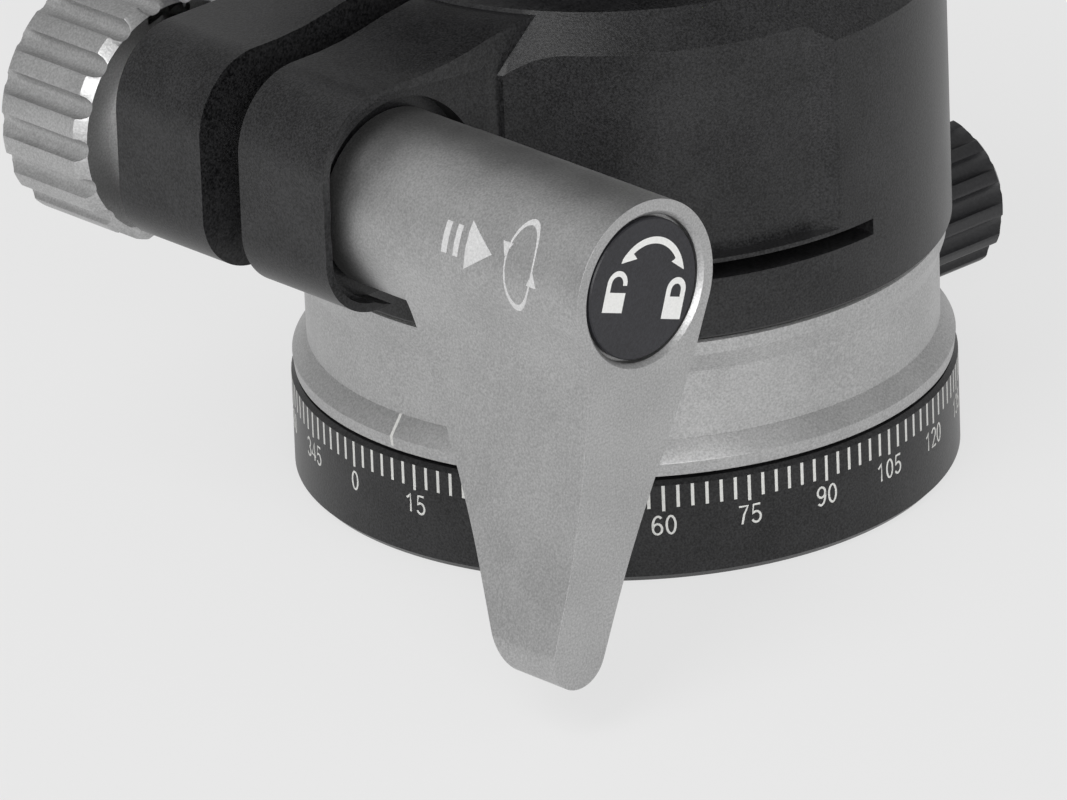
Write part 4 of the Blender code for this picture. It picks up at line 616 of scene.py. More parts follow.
def scoop_plan(side):
    """Plan of a scoop: along the ear's face, round a fillet, along the wall, and out again up a ramp."""
    centre_y = POCKET_FLOOR + SCOOP_FILLET
    centre_x = -math.sqrt((SCOOP_RADIUS + SCOOP_FILLET) ** 2 - centre_y ** 2)
    wall_start = math.atan2(-centre_y, centre_x)
    wall_end = SCOOP_END - SCOOP_RAMP
    out = COLLAR_RADIUS + OUTSIDE
    points = [(EAR_END - PAST, -POCKET_FLOOR)]
    points += arc((centre_x, -centre_y), SCOOP_FILLET, math.pi / 2, wall_start + math.pi)
    points += arc((0, 0), SCOOP_RADIUS, wall_start, wall_end, 2 * ARC_STEPS)[1:]
    for step in range(1, ARC_STEPS + 1):
        share = step / ARC_STEPS
        eased = share * share * (3 - 2 * share)
        radius = SCOOP_RADIUS + (COLLAR_RADIUS + SCOOP_CLEAR - SCOOP_RADIUS) * eased
        angle = wall_end + SCOOP_RAMP * share
        points.append((radius * math.cos(angle), radius * math.sin(angle)))
    points += [(0, -out), (EAR_END - PAST, -out)]
    return [(x, -y * side) for x, y in points]


def pocket_side():
    """Side view of a scoop: inside the ear's rim, then open over the collar."""
    quarter = math.pi / 2
    low_corner = (EAR_END + EAR_BOTTOM_CORNER, EAR_BOTTOM + EAR_BOTTOM_CORNER)
    high_corner = (EAR_END + EAR_TOP_CORNER, EAR_TOP - EAR_TOP_CORNER)
    points = [(PAST, SCOOP_FLOOR), (BOLT_X, SCOOP_FLOOR)]
    points += arc(low_corner, EAR_BOTTOM_CORNER - POCKET_RIM, 3 * quarter, 2 * quarter)
    points += arc(high_corner, EAR_TOP_CORNER - POCKET_RIM, 2 * quarter, quarter)[:-1]
    run = -high_corner[0] - SWEEP_END
    points += [(-SWEEP_END - run * share, EAR_TOP - SWEEP_RISE * drop) for share, drop in POCKET_TOP_SHARES]
    points.append((PAST, points[-1][1]))
    return points


def ear_side():
    """Side view of the ears, left high at the root."""
    quarter = math.pi / 2
    low_corner = (EAR_END + EAR_BOTTOM_CORNER, EAR_BOTTOM + EAR_BOTTOM_CORNER)
    high_corner = (EAR_END + EAR_TOP_CORNER, EAR_TOP - EAR_TOP_CORNER)
    points = [(EAR_ROOT, EAR_BOTTOM)]
    points += arc(low_corner, EAR_BOTTOM_CORNER, 3 * quarter, 2 * quarter)
    points += arc(high_corner, EAR_TOP_CORNER, 2 * quarter, quarter)
    high = COLLAR_TOP - SCOOP_CLEAR
    points += [(-SWEEP_START, EAR_TOP), (-COLLAR_RADIUS, high), (EAR_ROOT, high)]
    return points


mouth_angle = math.acos(MOUTH_RADIUS / CAVITY_RADIUS)
collar = lathe("split_collar", [
    (CAVITY_RADIUS, COLLAR_BOTTOM),
    (COLLAR_RADIUS - COLLAR_FOOT_EDGE, COLLAR_BOTTOM),
    (COLLAR_RADIUS, COLLAR_BOTTOM + COLLAR_FOOT_EDGE),
    (COLLAR_RADIUS, COLLAR_SHOULDER),
    (COLLAR_TOP_RADIUS, COLLAR_TOP),
    (MOUTH_RADIUS + MOUTH_FLARE, COLLAR_TOP),
] + arc((0, BALL_HEIGHT), CAVITY_RADIUS, mouth_angle, 0, ARC_STEPS // 2) + [(CAVITY_RADIUS, COLLAR_BOTTOM)])
cut(collar, side_view("ear_block", ear_side(), -EAR_FACE, EAR_FACE), "UNION")
reach = COLLAR_RADIUS + OUTSIDE
sweep = [(reach, EAR_TOP)]
sweep += [(SWEEP_END + (SWEEP_START - SWEEP_END) * share, EAR_TOP + SWEEP_RISE * rise)
          for share, rise in SWEEP_SHARES]
sweep += [(SWEEP_END, COLLAR_TOP + PAST), (reach, COLLAR_TOP + PAST), (reach, EAR_TOP)]
cut(collar, lathe("ear_sweep", sweep))
for side in (-1, 1):
    scoop = outlined("scoop", scoop_plan(side), SCOOP_FLOOR - JUST_PAST, COLLAR_TOP + PAST)
    near, far = sorted((0, side * reach))
    cut(scoop, side_view("scoop_limits", pocket_side(), near, far), "INTERSECT")
    cut(collar, scoop)
saw = [(-reach, -reach), (SAW_SLOT_END, -reach), (SAW_SLOT_END, reach), (-reach, reach)]
cut(collar, outlined("saw_slot", saw, SAW_SLOT_BOTTOM, SAW_SLOT_TOP))
slit = [(-reach, -SLIT_HALF), (0, -SLIT_HALF), (0, SLIT_HALF), (-reach, SLIT_HALF)]
cut(collar, outlined("slit", slit, (SAW_SLOT_BOTTOM + SAW_SLOT_TOP) / 2, COLLAR_TOP + PAST))
bolt_line = (BOLT_X, 0, BOLT_HEIGHT)
cut(collar, laid(rod("bolt_hole", BOLT_HOLE, -EAR_FACE - PAST, EAR_FACE + PAST), "Y", bolt_line))
counterbore = rod("counterbore", COUNTERBORE_RADIUS, -EAR_FACE - PAST, COUNTERBORE_FLOOR, 96)
cut(collar, laid(counterbore, "Y", bolt_line))
COLLAR_EDGE_BREAK = 0.20 * MM
broken_edges(collar, COLLAR_EDGE_BREAK)
collar.data.materials.append(anodised_black)
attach(collar, "housing")
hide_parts("collar_body")


# Lever
# The lever that clamps the ball is cast in zinc, tumbled and blasted, then plated to a soft grey. Its
# head is hollow: inside are the teeth that grip the sleeve on the bolt, a spring and the screw that
# holds it all.
HUB_END = -43.0 * MM
ARM_FACE = -18.6 * MM
BARREL_FACE = -11.1 * MM
BARREL_STEP = 0.05 * MM
LEVER_HUB_RADIUS = 8.1 * MM
TIP_REACH = 32.7 * MM
TIP_RADIUS = 3.07 * MM
LEVER_TILT = math.radians(16.5)
TIP_START = math.radians(188)
TIP_END = math.radians(352)
HEAD_START = math.radians(-10)
HEAD_END = math.radians(211.6)
TAPER_INNER = -19.9 * MM
TAPER_START = 6.2 * MM
TAPER_SLOPE_SHARE = 15.1 / 26.3
SLEEVE_CLEARANCE_RADIUS = 6.7 * MM
SLEEVE_ROOM_END = -23.8 * MM
SPRING_ROOM_RADIUS = 5.3 * MM
WEB_INNER = -30.3 * MM
WEB_OUTER = -32.3 * MM
WEB_HOLE = 2.1 * MM
SCREW_ROOM_RADIUS = 4.8 * MM
BADGE_SEAT = -41.8 * MM
BADGE_SEAT_RADIUS = 6.65 * MM
SEAT_MOUTH_RADIUS = 7.05 * MM
SEAT_MOUTH_DEPTH = 0.45 * MM
LEVER_EDGE_BREAK = 0.26 * MM
SEAM_PARTS = 9
RUN_STEPS = 6

# The two sides of the arm as knots across and down from the hub, in millimetres.
LEVER_LEFT = ((-3.08, -32.8), (-2.92, -25.0), (-3.35, -18.5), (-4.20, -12.0), (-4.90, -8.2),
              (-5.70, -6.1), (-6.90, -4.24))
LEVER_RIGHT = ((3.08, -32.8), (3.75, -26.5), (4.60, -21.0), (6.00, -14.0), (7.32, -7.3), (7.98, -1.41))


def smooth_run(knots):
    """A smooth line through knots of (across, down) in millimetres, from the first to the last."""
    spots = [Vector(knot) * MM for knot in knots]
    spots = [2 * spots[0] - spots[1]] + spots + [2 * spots[-1] - spots[-2]]
    points = []
    for before, start, end, after in zip(spots, spots[1:], spots[2:], spots[3:]):
        for step in range(RUN_STEPS):
            t = step / RUN_STEPS
            leaving = (end - before) / 2
            arriving = (after - start) / 2
            ease = t * t * (3 - 2 * t)
            spot = start.lerp(end, ease) + leaving * (t - 2 * t ** 2 + t ** 3) + arriving * (t ** 3 - t ** 2)
            points.append((spot.x, spot.y))
    return points + [tuple(spots[-2])]


def lever_side():
    """Side view of the lever: a round head, a waist that is deeper on one side, and a round tip."""
    tip = arc((0, -TIP_REACH), TIP_RADIUS, TIP_START, TIP_END)
    head = arc((0, 0), LEVER_HUB_RADIUS, HEAD_START, HEAD_END, 3 * ARC_STEPS)
    return tip + smooth_run(LEVER_RIGHT) + head[1:-1] + list(reversed(smooth_run(LEVER_LEFT)))


lever = side_view("clamp_lever", lever_side(), HUB_END, ARM_FACE)
low = -TIP_REACH - TIP_RADIUS - PAST
wedge = [
    (TAPER_INNER + TAPER_SLOPE_SHARE * TAPER_START, 0),
    (TAPER_INNER + TAPER_SLOPE_SHARE * (low + TAPER_START), low),
    (ARM_FACE + PAST, low),
    (ARM_FACE + PAST, 0),
]
cut(lever, end_view("lever_taper", wedge, LEVER_HUB_RADIUS + JUST_PAST))
lever.matrix_world = Matrix.Translation(bolt_line) @ Matrix.Rotation(LEVER_TILT, 4, "Y")
settle(lever)
barrel = rod("lever_barrel", LEVER_HUB_RADIUS - BARREL_STEP, ARM_FACE - PAST, BARREL_FACE, 192)
barrel = laid(barrel, "Y", bolt_line)
hollow = lathe("lever_hollow", [
    (SLEEVE_CLEARANCE_RADIUS, BARREL_FACE + PAST),
    (SLEEVE_CLEARANCE_RADIUS, SLEEVE_ROOM_END),
    (SPRING_ROOM_RADIUS, SLEEVE_ROOM_END),
    (SPRING_ROOM_RADIUS, WEB_INNER),
    (WEB_HOLE, WEB_INNER),
    (WEB_HOLE, WEB_OUTER),
    (SCREW_ROOM_RADIUS, WEB_OUTER),
    (SCREW_ROOM_RADIUS, BADGE_SEAT),
    (BADGE_SEAT_RADIUS, BADGE_SEAT),
    (BADGE_SEAT_RADIUS, HUB_END + SEAT_MOUTH_DEPTH),
    (SEAT_MOUTH_RADIUS, HUB_END),
    (SEAT_MOUTH_RADIUS, HUB_END - PAST),
], 128)
hollow = laid(hollow, "Y", bolt_line)
for solid in (lever, barrel):
    pick(hollow)
    bpy.ops.object.duplicate()
    cut(solid, bpy.context.active_object)
bpy.data.objects.remove(hollow)
cut(lever, barrel, "UNION")
broken_edges(lever, LEVER_EDGE_BREAK)

# The narrow step between the head and its barrel is split into short runs round the bolt's line.
bpy.ops.object.mode_set(mode="EDIT")
bpy.ops.mesh.select_mode(type="FACE")
for part in range(SEAM_PARTS):
    bpy.ops.mesh.select_all(action="DESELECT")
    bpy.ops.object.mode_set(mode="OBJECT")
    for face in lever.data.polygons:
        face.select = abs(face.center.y - ARM_FACE) < BARREL_STEP and face.normal.y > 0
    bpy.ops.object.mode_set(mode="EDIT")
    turn = math.pi * part / SEAM_PARTS
    bpy.ops.mesh.bisect(plane_co=bolt_line, plane_no=(math.cos(turn), 0, math.sin(turn)))
bpy.ops.object.mode_set(mode="OBJECT")
shaded_evenly(lever)
lever.data.materials.append(anodised_grey)
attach(lever, "lever")
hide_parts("lever")


# Badge
# The badge is a black disc, punched from anodised sheet and pressed into the lever's head. Its white
# signs are printed: a turning arrow with an open and a closed padlock.
BADGE_RADIUS = 6.35 * MM
BADGE_BACK = -42.1 * MM
BADGE_FACE = -42.7 * MM
BADGE_EDGE = 0.12 * MM
SIGN_PROUD = 0.012 * MM
SIGN_DEPTH = 0.05 * MM
SIGN_TILT = math.radians(18.4)
badge = lathe("badge_disc", [
    (BADGE_RADIUS, BADGE_BACK),
    (BADGE_RADIUS, BADGE_FACE + BADGE_EDGE),
    (BADGE_RADIUS - BADGE_EDGE, BADGE_FACE),
], 128)
badge = laid(badge, "Y", bolt_line)
round_off(badge, 25)
badge_black = blasted_metal("printed_black_anodised_sheet", "242427", "303034", 0.0, 0.40, GRAIN_DEPTH)
badge.data.materials.append(badge_black)
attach(badge, "lever")
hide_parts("badge")

ARROW_CENTRE = (0.6 * MM, 0.2 * MM)
ARROW_OUTER = 4.3 * MM
ARROW_INNER = 3.68 * MM
ARROW_LEFT_TIP = (136, 4.17 * MM)
ARROW_RIGHT_TIP = (1.3, 4.3 * MM)
ARROW_LEFT_BARB = (112.5, 3.0 * MM)
ARROW_RIGHT_BARB = (23.3, 3.16 * MM)
ARROW_OUTER_ARC = (131, 4)
ARROW_INNER_ARC = (22.7, 114.4)
OPEN_BODY = (-4.49 * MM, -2.18 * MM, -2.06 * MM, -0.40 * MM)
OPEN_ARCH = (-3.27 * MM, 0.32 * MM)
OPEN_ARCH_OUTER = 1.22 * MM
OPEN_ARCH_INNER = 0.72 * MM
OPEN_LEG_END = 0.25 * MM
CLOSED_MIDDLE = 4.12 * MM
CLOSED_HALF = 1.17 * MM
CLOSED_BOTTOM = -2.61 * MM
CLOSED_ARCH = -0.05 * MM
CLOSED_HOLE_HALF = 0.6 * MM
CLOSED_HOLE_BOTTOM = -0.62 * MM
LOCK_HOLE_DEPTH = 0.019 * MM


def around(centre, degrees, radius):
    """A place on a circle."""
    angle = math.radians(degrees)
    return (centre[0] + radius * math.cos(angle), centre[1] + radius * math.sin(angle))


def printed(name, outline, turned=0, depth=SIGN_DEPTH, past=0):
    """A printed sign on the badge, drawn about the hub's axis, or a cutter that stands past its face."""
    cosine, sine = math.cos(turned), math.sin(turned)
    points = [(BOLT_X + cosine * u + sine * v, BOLT_HEIGHT - sine * u + cosine * v) for u, v in outline]
    near = BADGE_FACE - SIGN_PROUD
    return side_view(name, points, near - past, near + depth)


arrow = [around(ARROW_CENTRE, *ARROW_LEFT_TIP)]
arrow += arc(ARROW_CENTRE, ARROW_OUTER, *map(math.radians, ARROW_OUTER_ARC))
arrow += [around(ARROW_CENTRE, *ARROW_RIGHT_TIP), around(ARROW_CENTRE, *ARROW_RIGHT_BARB)]
arrow += arc(ARROW_CENTRE, ARROW_INNER, *map(math.radians, ARROW_INNER_ARC))
arrow += [around(ARROW_CENTRE, *ARROW_LEFT_BARB)]
left, bottom, right, top = OPEN_BODY
open_lock = [(left, bottom), (right, bottom), (right, top), (OPEN_ARCH[0] - OPEN_ARCH_INNER, top)]
open_lock += arc(OPEN_ARCH, OPEN_ARCH_INNER, math.pi, 0)
open_lock += [(OPEN_ARCH[0] + OPEN_ARCH_INNER, OPEN_LEG_END), (OPEN_ARCH[0] + OPEN_ARCH_OUTER, OPEN_LEG_END)]
open_lock += arc(OPEN_ARCH, OPEN_ARCH_OUTER, 0, math.pi)
closed_lock = [(CLOSED_MIDDLE - CLOSED_HALF, CLOSED_BOTTOM), (CLOSED_MIDDLE + CLOSED_HALF, CLOSED_BOTTOM)]
closed_lock += arc((CLOSED_MIDDLE, CLOSED_ARCH), CLOSED_HALF, 0, math.pi)
lock_hole = [(CLOSED_MIDDLE - CLOSED_HOLE_HALF, CLOSED_HOLE_BOTTOM),
             (CLOSED_MIDDLE + CLOSED_HOLE_HALF, CLOSED_HOLE_BOTTOM)]
lock_hole += arc((CLOSED_MIDDLE, CLOSED_ARCH), CLOSED_HOLE_HALF, 0, math.pi)
closed = printed("closed_lock", closed_lock, SIGN_TILT)
cut(closed, printed("lock_hole", lock_hole, SIGN_TILT, LOCK_HOLE_DEPTH, SIGN_DEPTH))
signs = joined("badge_signs", [printed("arrow", arrow), printed("open_lock", open_lock, SIGN_TILT), closed])
printed_white = white_paint("white_screen_print", "d8d8d6", "f0f0ee", 0.5)
signs.data.materials.append(printed_white)
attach(signs, "lever")

# The signs on the lever's hub are etched by laser: two bars and an arrowhead that say pull, and a
# turning ring.
ETCH_PROUD = 0.012 * MM
BAR_ROWS = ((-26.05, -26.7), (-27.45, -28.05))
BAR_ARC = (150, 170)
POINT_ROW = (-28.9, -32.1)
POINT_ARC = (145, 161, 176)
RING_ROW = -35.4 * MM
RING_TURN = 161
RING_HALF = 1.75 * MM
RING_HALF_HEIGHT = 4.24 * MM
RING_BAND_SIDE = 0.16 * MM
RING_BAND_END = 0.62 * MM
HEAD_ROWS = (((-33.0, 150), (-34.2, 150), (-33.6, 159)), ((-36.6, 172), (-37.8, 172), (-37.2, 163)))


def wrapped(item):
    """Lay a flat sign round the lever's hub, its x along the axis and its y round the hub."""
    pick(item)
    bpy.ops.object.mode_set(mode="EDIT")
    bpy.ops.mesh.select_all(action="SELECT")
    bpy.ops.mesh.subdivide(number_cuts=3)
    bpy.ops.object.mode_set(mode="OBJECT")
    radius = LEVER_HUB_RADIUS + ETCH_PROUD
    for vertex in item.data.vertices:
        angle = vertex.co.y / LEVER_HUB_RADIUS
        vertex.co = (BOLT_X + radius * math.cos(angle), vertex.co.x, BOLT_HEIGHT + radius * math.sin(angle))
    thick = item.modifiers.new("depth", "SOLIDIFY")
    thick.thickness = SIGN_DEPTH
    thick.offset = -1
    bpy.ops.object.modifier_apply(modifier=thick.name)
    return item


def run(degrees):
    """The run round the hub up to an angle."""
    return LEVER_HUB_RADIUS * math.radians(degrees)


def flat_sign(name, corners):
    """A flat sign of three or four corners."""
    pick_nothing()
    bpy.ops.mesh.primitive_circle_add(vertices=len(corners), fill_type="NGON")
    item = bpy.context.active_object
    item.name = name
    for vertex, corner in zip(item.data.vertices, corners):
        vertex.co = (corner[0], corner[1], 0)
    return wrapped(item)


etched = []
for row, (near, far) in enumerate(BAR_ROWS):
    low, high = [run(degrees) for degrees in BAR_ARC]
    corners = [(near * MM, low), (far * MM, low), (far * MM, high), (near * MM, high)]
    etched.append(flat_sign(f"pull_bar_{row}", corners))
foot, tip = [row * MM for row in POINT_ROW]
etched.append(flat_sign("pull_point", [
    (foot, run(POINT_ARC[0])), (tip, run(POINT_ARC[1])), (foot, run(POINT_ARC[2]))]))
for row, corners in enumerate(HEAD_ROWS):
    etched.append(flat_sign(f"turn_head_{row}", [(y * MM, run(degrees)) for y, degrees in corners]))
pick_nothing()
bpy.ops.mesh.primitive_circle_add(vertices=64, radius=1, location=(0, 0, 0))
band = bpy.context.active_object
bpy.ops.object.mode_set(mode="EDIT")
bpy.ops.mesh.select_mode(type="EDGE")
bpy.ops.mesh.select_all(action="SELECT")
bpy.ops.transform.resize(value=(RING_HALF, RING_HALF_HEIGHT, 1))
bpy.ops.mesh.extrude_edges_move()
bpy.ops.transform.resize(value=(1 - RING_BAND_SIDE / RING_HALF, 1 - RING_BAND_END / RING_HALF_HEIGHT, 1))
bpy.ops.mesh.select_all(action="SELECT")
bpy.ops.transform.translate(value=(RING_ROW, run(RING_TURN), 0))
bpy.ops.object.mode_set(mode="OBJECT")
settle(band)
etched.append(wrapped(band))
etched = joined("hub_signs", etched)
pick(etched)
bpy.ops.object.mode_set(mode="EDIT")
bpy.ops.mesh.select_all(action="SELECT")
bpy.ops.mesh.normals_make_consistent(inside=False)
bpy.ops.object.mode_set(mode="OBJECT")
etched_grey = blasted_metal("laser_etched_aluminium", "c6c6c6", "dadada", 0.3, 0.6, GRAIN_DEPTH)
etched.data.materials.append(etched_grey)
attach(etched, "lever")


# Clamp bolt
# The bolt pulls the ears together. It is turned from steel and plated with zinc: a threaded shank, a
# flange that bears on the near ear, and a spigot that carries the toothed sleeve and the lever.
def grained_metal(name, dark, light, roughness):
    """Turned metal: bright, with faint tool lines round it that the light picks out."""
    material, tree = new_material(name)
    lines = texture(tree, TOOL_LINE, 4.0, 0.7)
    polish = add_node(tree, "ShaderNodeMapRange",
                      {"To Min": roughness - POLISH_BELOW, "To Max": roughness + POLISH_ABOVE},
                      {"Value": lines.outputs["Fac"]})
    ridges = add_node(tree, "ShaderNodeBump", {"Strength": 0.25, "Distance": GRAIN_DEPTH / 2},
                      {"Height": lines.outputs["Fac"]})
    surfaced(tree, {"Metallic": 1.0},
             {"Base Color": toned(tree, lines.outputs["Fac"], dark, light, 0.3, 0.7),
              "Roughness": polish.outputs["Result"], "Normal": ridges.outputs["Normal"]})
    return material


TOOL_LINE = 0.12 * MM
POLISH_BELOW = 0.06
POLISH_ABOVE = 0.08
plated_steel = grained_metal("zinc_plated_turned_steel", "a9a9ab", "c9c9cb", 0.28)
BOLT_RADIUS = 3.0 * MM
BOLT_CORE = 2.45 * MM
BOLT_PITCH = 1.0 * MM
BOLT_FAR_END = 25.5 * MM
BOLT_THREAD_END = -4.5 * MM
BOLT_FLANGE_FACE = -11.6 * MM
BOLT_FLANGE_BACK = -13.5 * MM
BOLT_FLANGE_RADIUS = 5.5 * MM
BOLT_SPIGOT_RADIUS = 4.0 * MM
BOLT_SPIGOT_END = -30.0 * MM
BOLT_TAP_RADIUS = 2.1 * MM
BOLT_TAP_END = -22.1 * MM
BOLT_EDGE = 0.3 * MM
CREST_SHARES = (0.44, 0.56)


def thread(crest, root, start, end, pitch):
    """Profile of a thread as a row of even ridges, from one height to the other."""
    turns = int(abs(end - start) / pitch)
    step = (end - start) / turns
    points = []
    for turn in range(turns):
        foot = start + turn * step
        points += [(root, foot)] + [(crest, foot + step * share) for share in CREST_SHARES]
    return points + [(root, end)]


bolt = lathe("zinc_bolt", [
    (BOLT_TAP_RADIUS, BOLT_TAP_END),
    (BOLT_TAP_RADIUS, BOLT_SPIGOT_END),
    (BOLT_SPIGOT_RADIUS - BOLT_EDGE, BOLT_SPIGOT_END),
    (BOLT_SPIGOT_RADIUS, BOLT_SPIGOT_END + BOLT_EDGE),
    (BOLT_SPIGOT_RADIUS, BOLT_FLANGE_BACK),
    (BOLT_FLANGE_RADIUS - BOLT_EDGE, BOLT_FLANGE_BACK),
    (BOLT_FLANGE_RADIUS, BOLT_FLANGE_BACK + BOLT_EDGE),
    (BOLT_FLANGE_RADIUS, BOLT_FLANGE_FACE),
    (BOLT_RADIUS, BOLT_FLANGE_FACE),
    (BOLT_RADIUS, BOLT_THREAD_END - BOLT_EDGE),
] + thread(BOLT_RADIUS, BOLT_CORE, BOLT_THREAD_END, BOLT_FAR_END, BOLT_PITCH), 64)
bolt = laid(bolt, "Y", bolt_line)
round_off(bolt, 25)
bolt.data.materials.append(plated_steel)
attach(bolt, "bolt")
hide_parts("clamp_bolt")


# Friction knob
# The knob behind the far ear sets how stiffly the ball moves. It is turned and fluted from aluminium,
# blasted and anodised clear like the lever, with a brass nut pressed into it that runs on the bolt.
FRICTION_RADIUS = 11.5 * MM
FRICTION_NECK_RADIUS = 8.0 * MM
FRICTION_START = 13.2 * MM
FRICTION_GRIP_START = 16.6 * MM
FRICTION_END = 27.7 * MM
FRICTION_FLUTES = 18
FLUTE_RADIUS = 1.1 * MM
FLUTE_LAND_SHARE = 1.2
KNOB_CHAMFER = 0.9 * MM
KNOB_EDGE_BREAK = 0.22 * MM
NUT_HOLE_RADIUS = 5.3 * MM
NUT_HOLE_END = 21.5 * MM
BOLT_ROOM_END = 25.8 * MM
DIMPLE_RADIUS = 7.6 * MM
DIMPLE_DEPTH = 0.5 * MM


def fluted(radius, flute, count):
    """Outline of a round knob with a row of shallow flutes."""
    points = []
    step = math.tau / count
    half = 2 * math.asin(flute / (2 * radius))
    land = FLUTE_LAND_SHARE * half
    for number in range(count):
        middle = number * step
        centre = (radius * math.cos(middle), radius * math.sin(middle))
        points += arc(centre, flute, middle - math.pi / 2 - half, middle - 3 * math.pi / 2 + half, 8)
        points += arc((0, 0), radius, middle + land, middle + step - land, 4)
    return points


def fluted_knob(name, radius, flute, count, start, end, dimple):
    """A fluted bar with turned chamfers at both ends and a shallow turned recess in its outer face."""
    knob = outlined(name, fluted(radius, flute, count), start, end)
    trim = lathe("knob_turning", [
        (radius - KNOB_CHAMFER, start),
        (radius + KNOB_CHAMFER, start + 2 * KNOB_CHAMFER),
        (radius + KNOB_CHAMFER, end - 2 * KNOB_CHAMFER),
        (radius - KNOB_CHAMFER, end),
        (dimple, end),
        (dimple - DIMPLE_DEPTH, end - DIMPLE_DEPTH),
    ], 128)
    cut(knob, trim, "INTERSECT")
    return knob


knob = fluted_knob("silver_friction_knob", FRICTION_RADIUS, FLUTE_RADIUS, FRICTION_FLUTES,
                   FRICTION_GRIP_START, FRICTION_END, DIMPLE_RADIUS)
neck = rod("knob_neck", FRICTION_NECK_RADIUS, FRICTION_START, FRICTION_GRIP_START + BOLT_EDGE, 96)
cut(knob, neck, "UNION")
cut(knob, lathe("knob_hollow", [
    (BOLT_HOLE, BOLT_ROOM_END),
    (BOLT_HOLE, NUT_HOLE_END),
    (NUT_HOLE_RADIUS, NUT_HOLE_END),
    (NUT_HOLE_RADIUS, FRICTION_START - PAST),
], 64))
broken_edges(knob, KNOB_EDGE_BREAK)
knob = laid(knob, "Y", bolt_line)
knob.data.materials.append(anodised_grey)
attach(knob, "friction_knob")
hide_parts("friction_knob")


# Pan lock knob
# The small knob at the back locks the turn of the head. It is moulded from black ABS with a spark-
# eroded finish, round the head of its steel screw.
PAN_KNOB_RADIUS = 7.2 * MM
PAN_NECK_RADIUS = 4.5 * MM
PAN_KNOB_START = 30.15 * MM
PAN_GRIP_START = 32.15 * MM
PAN_KNOB_END = 42.14 * MM
PAN_FLUTES = 14
PAN_FLUTE_RADIUS = 1.0 * MM
PAN_DIMPLE_RADIUS = 4.6 * MM
PAN_SCREW_ROOM_END = 37.45 * MM
pan_knob = fluted_knob("moulded_pan_knob", PAN_KNOB_RADIUS, PAN_FLUTE_RADIUS, PAN_FLUTES,
                       PAN_GRIP_START, PAN_KNOB_END, PAN_DIMPLE_RADIUS)
cut(pan_knob, rod("pan_neck", PAN_NECK_RADIUS, PAN_KNOB_START, PAN_GRIP_START + BOLT_EDGE, 64), "UNION")
cut(pan_knob, rod("pan_screw_room", PAN_LOCK_HOLE, PAN_KNOB_START - PAST, PAN_SCREW_ROOM_END, 32))
broken_edges(pan_knob, KNOB_EDGE_BREAK)
pan_knob = laid(pan_knob, "X", (0, 0, PAN_LOCK_HEIGHT))


def moulded(name, dark, light, roughness, grain, depth):
    """Moulded plastic or rubber: a soft sheen over the fine texture of the mould."""
    material, tree = new_material(name)
    cells = texture(tree, grain, 3.0, 0.55)
    relief = add_node(tree, "ShaderNodeBump", {"Strength": 0.5, "Distance": depth},
                      {"Height": cells.outputs["Fac"]})
    surfaced(tree, {"Roughness": roughness},
             {"Base Color": toned(tree, cells.outputs["Fac"], dark, light, 0.3, 0.7),
              "Normal": relief.outputs["Normal"]})
    return material


SPARK_GRAIN = 0.30 * MM
moulded_black = moulded("moulded_black_abs", "1b1b1d", "29292b", 0.45, SPARK_GRAIN, GRAIN_DEPTH)
pan_knob.data.materials.append(moulded_black)
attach(pan_knob, "pan_knob")
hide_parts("pan_knob")


# Ball and neck
# Ball and neck are turned in one piece from aluminium bar. The ball is polished before it is hard
# anodised black, so it is smoother than the collar, with a faint sheen.
BALL_RADIUS = 21.0 * MM
NECK_RADIUS = 7.0 * MM
NECK_CONE = 3.0 * MM
NECK_FLANGE_RADIUS = 10.0 * MM
NECK_FLANGE_BOTTOM = 68.6 * MM
NECK_TOP = 70.8 * MM
NECK_BORE_RADIUS = 3.2 * MM
NECK_BORE_BOTTOM = 58.8 * MM
NECK_EDGE = 0.35 * MM
leave = math.acos((NECK_RADIUS + NECK_EDGE) / BALL_RADIUS)
ball_profile = [
    (NECK_BORE_RADIUS, NECK_BORE_BOTTOM),
    (NECK_BORE_RADIUS, NECK_TOP),
    (NECK_FLANGE_RADIUS - NECK_EDGE, NECK_TOP),
    (NECK_FLANGE_RADIUS, NECK_TOP - NECK_EDGE),
    (NECK_FLANGE_RADIUS, NECK_FLANGE_BOTTOM + NECK_EDGE),
    (NECK_FLANGE_RADIUS - NECK_EDGE / 2, NECK_FLANGE_BOTTOM - NECK_EDGE / 2),
    (NECK_RADIUS + NECK_EDGE / 2, NECK_FLANGE_BOTTOM - NECK_CONE + NECK_EDGE / 2),
    (NECK_RADIUS, NECK_FLANGE_BOTTOM - NECK_CONE - NECK_EDGE / 2),
    (NECK_RADIUS, BALL_HEIGHT + BALL_RADIUS * math.sin(leave) + NECK_EDGE),
]
ball_profile += arc((0, BALL_HEIGHT), BALL_RADIUS, leave, -math.pi / 2, 3 * ARC_STEPS)
ball = lathe("ball_and_neck", ball_profile)
round_off(ball, 20)
hard_anodised = blasted_metal("hard_anodised_black_aluminium", "1f1f21", "2a2a2c",
                              0.0, 0.30, GRAIN_DEPTH / 4)
ball.data.materials.append(hard_anodised)
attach(ball, "ball")
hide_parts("ball")


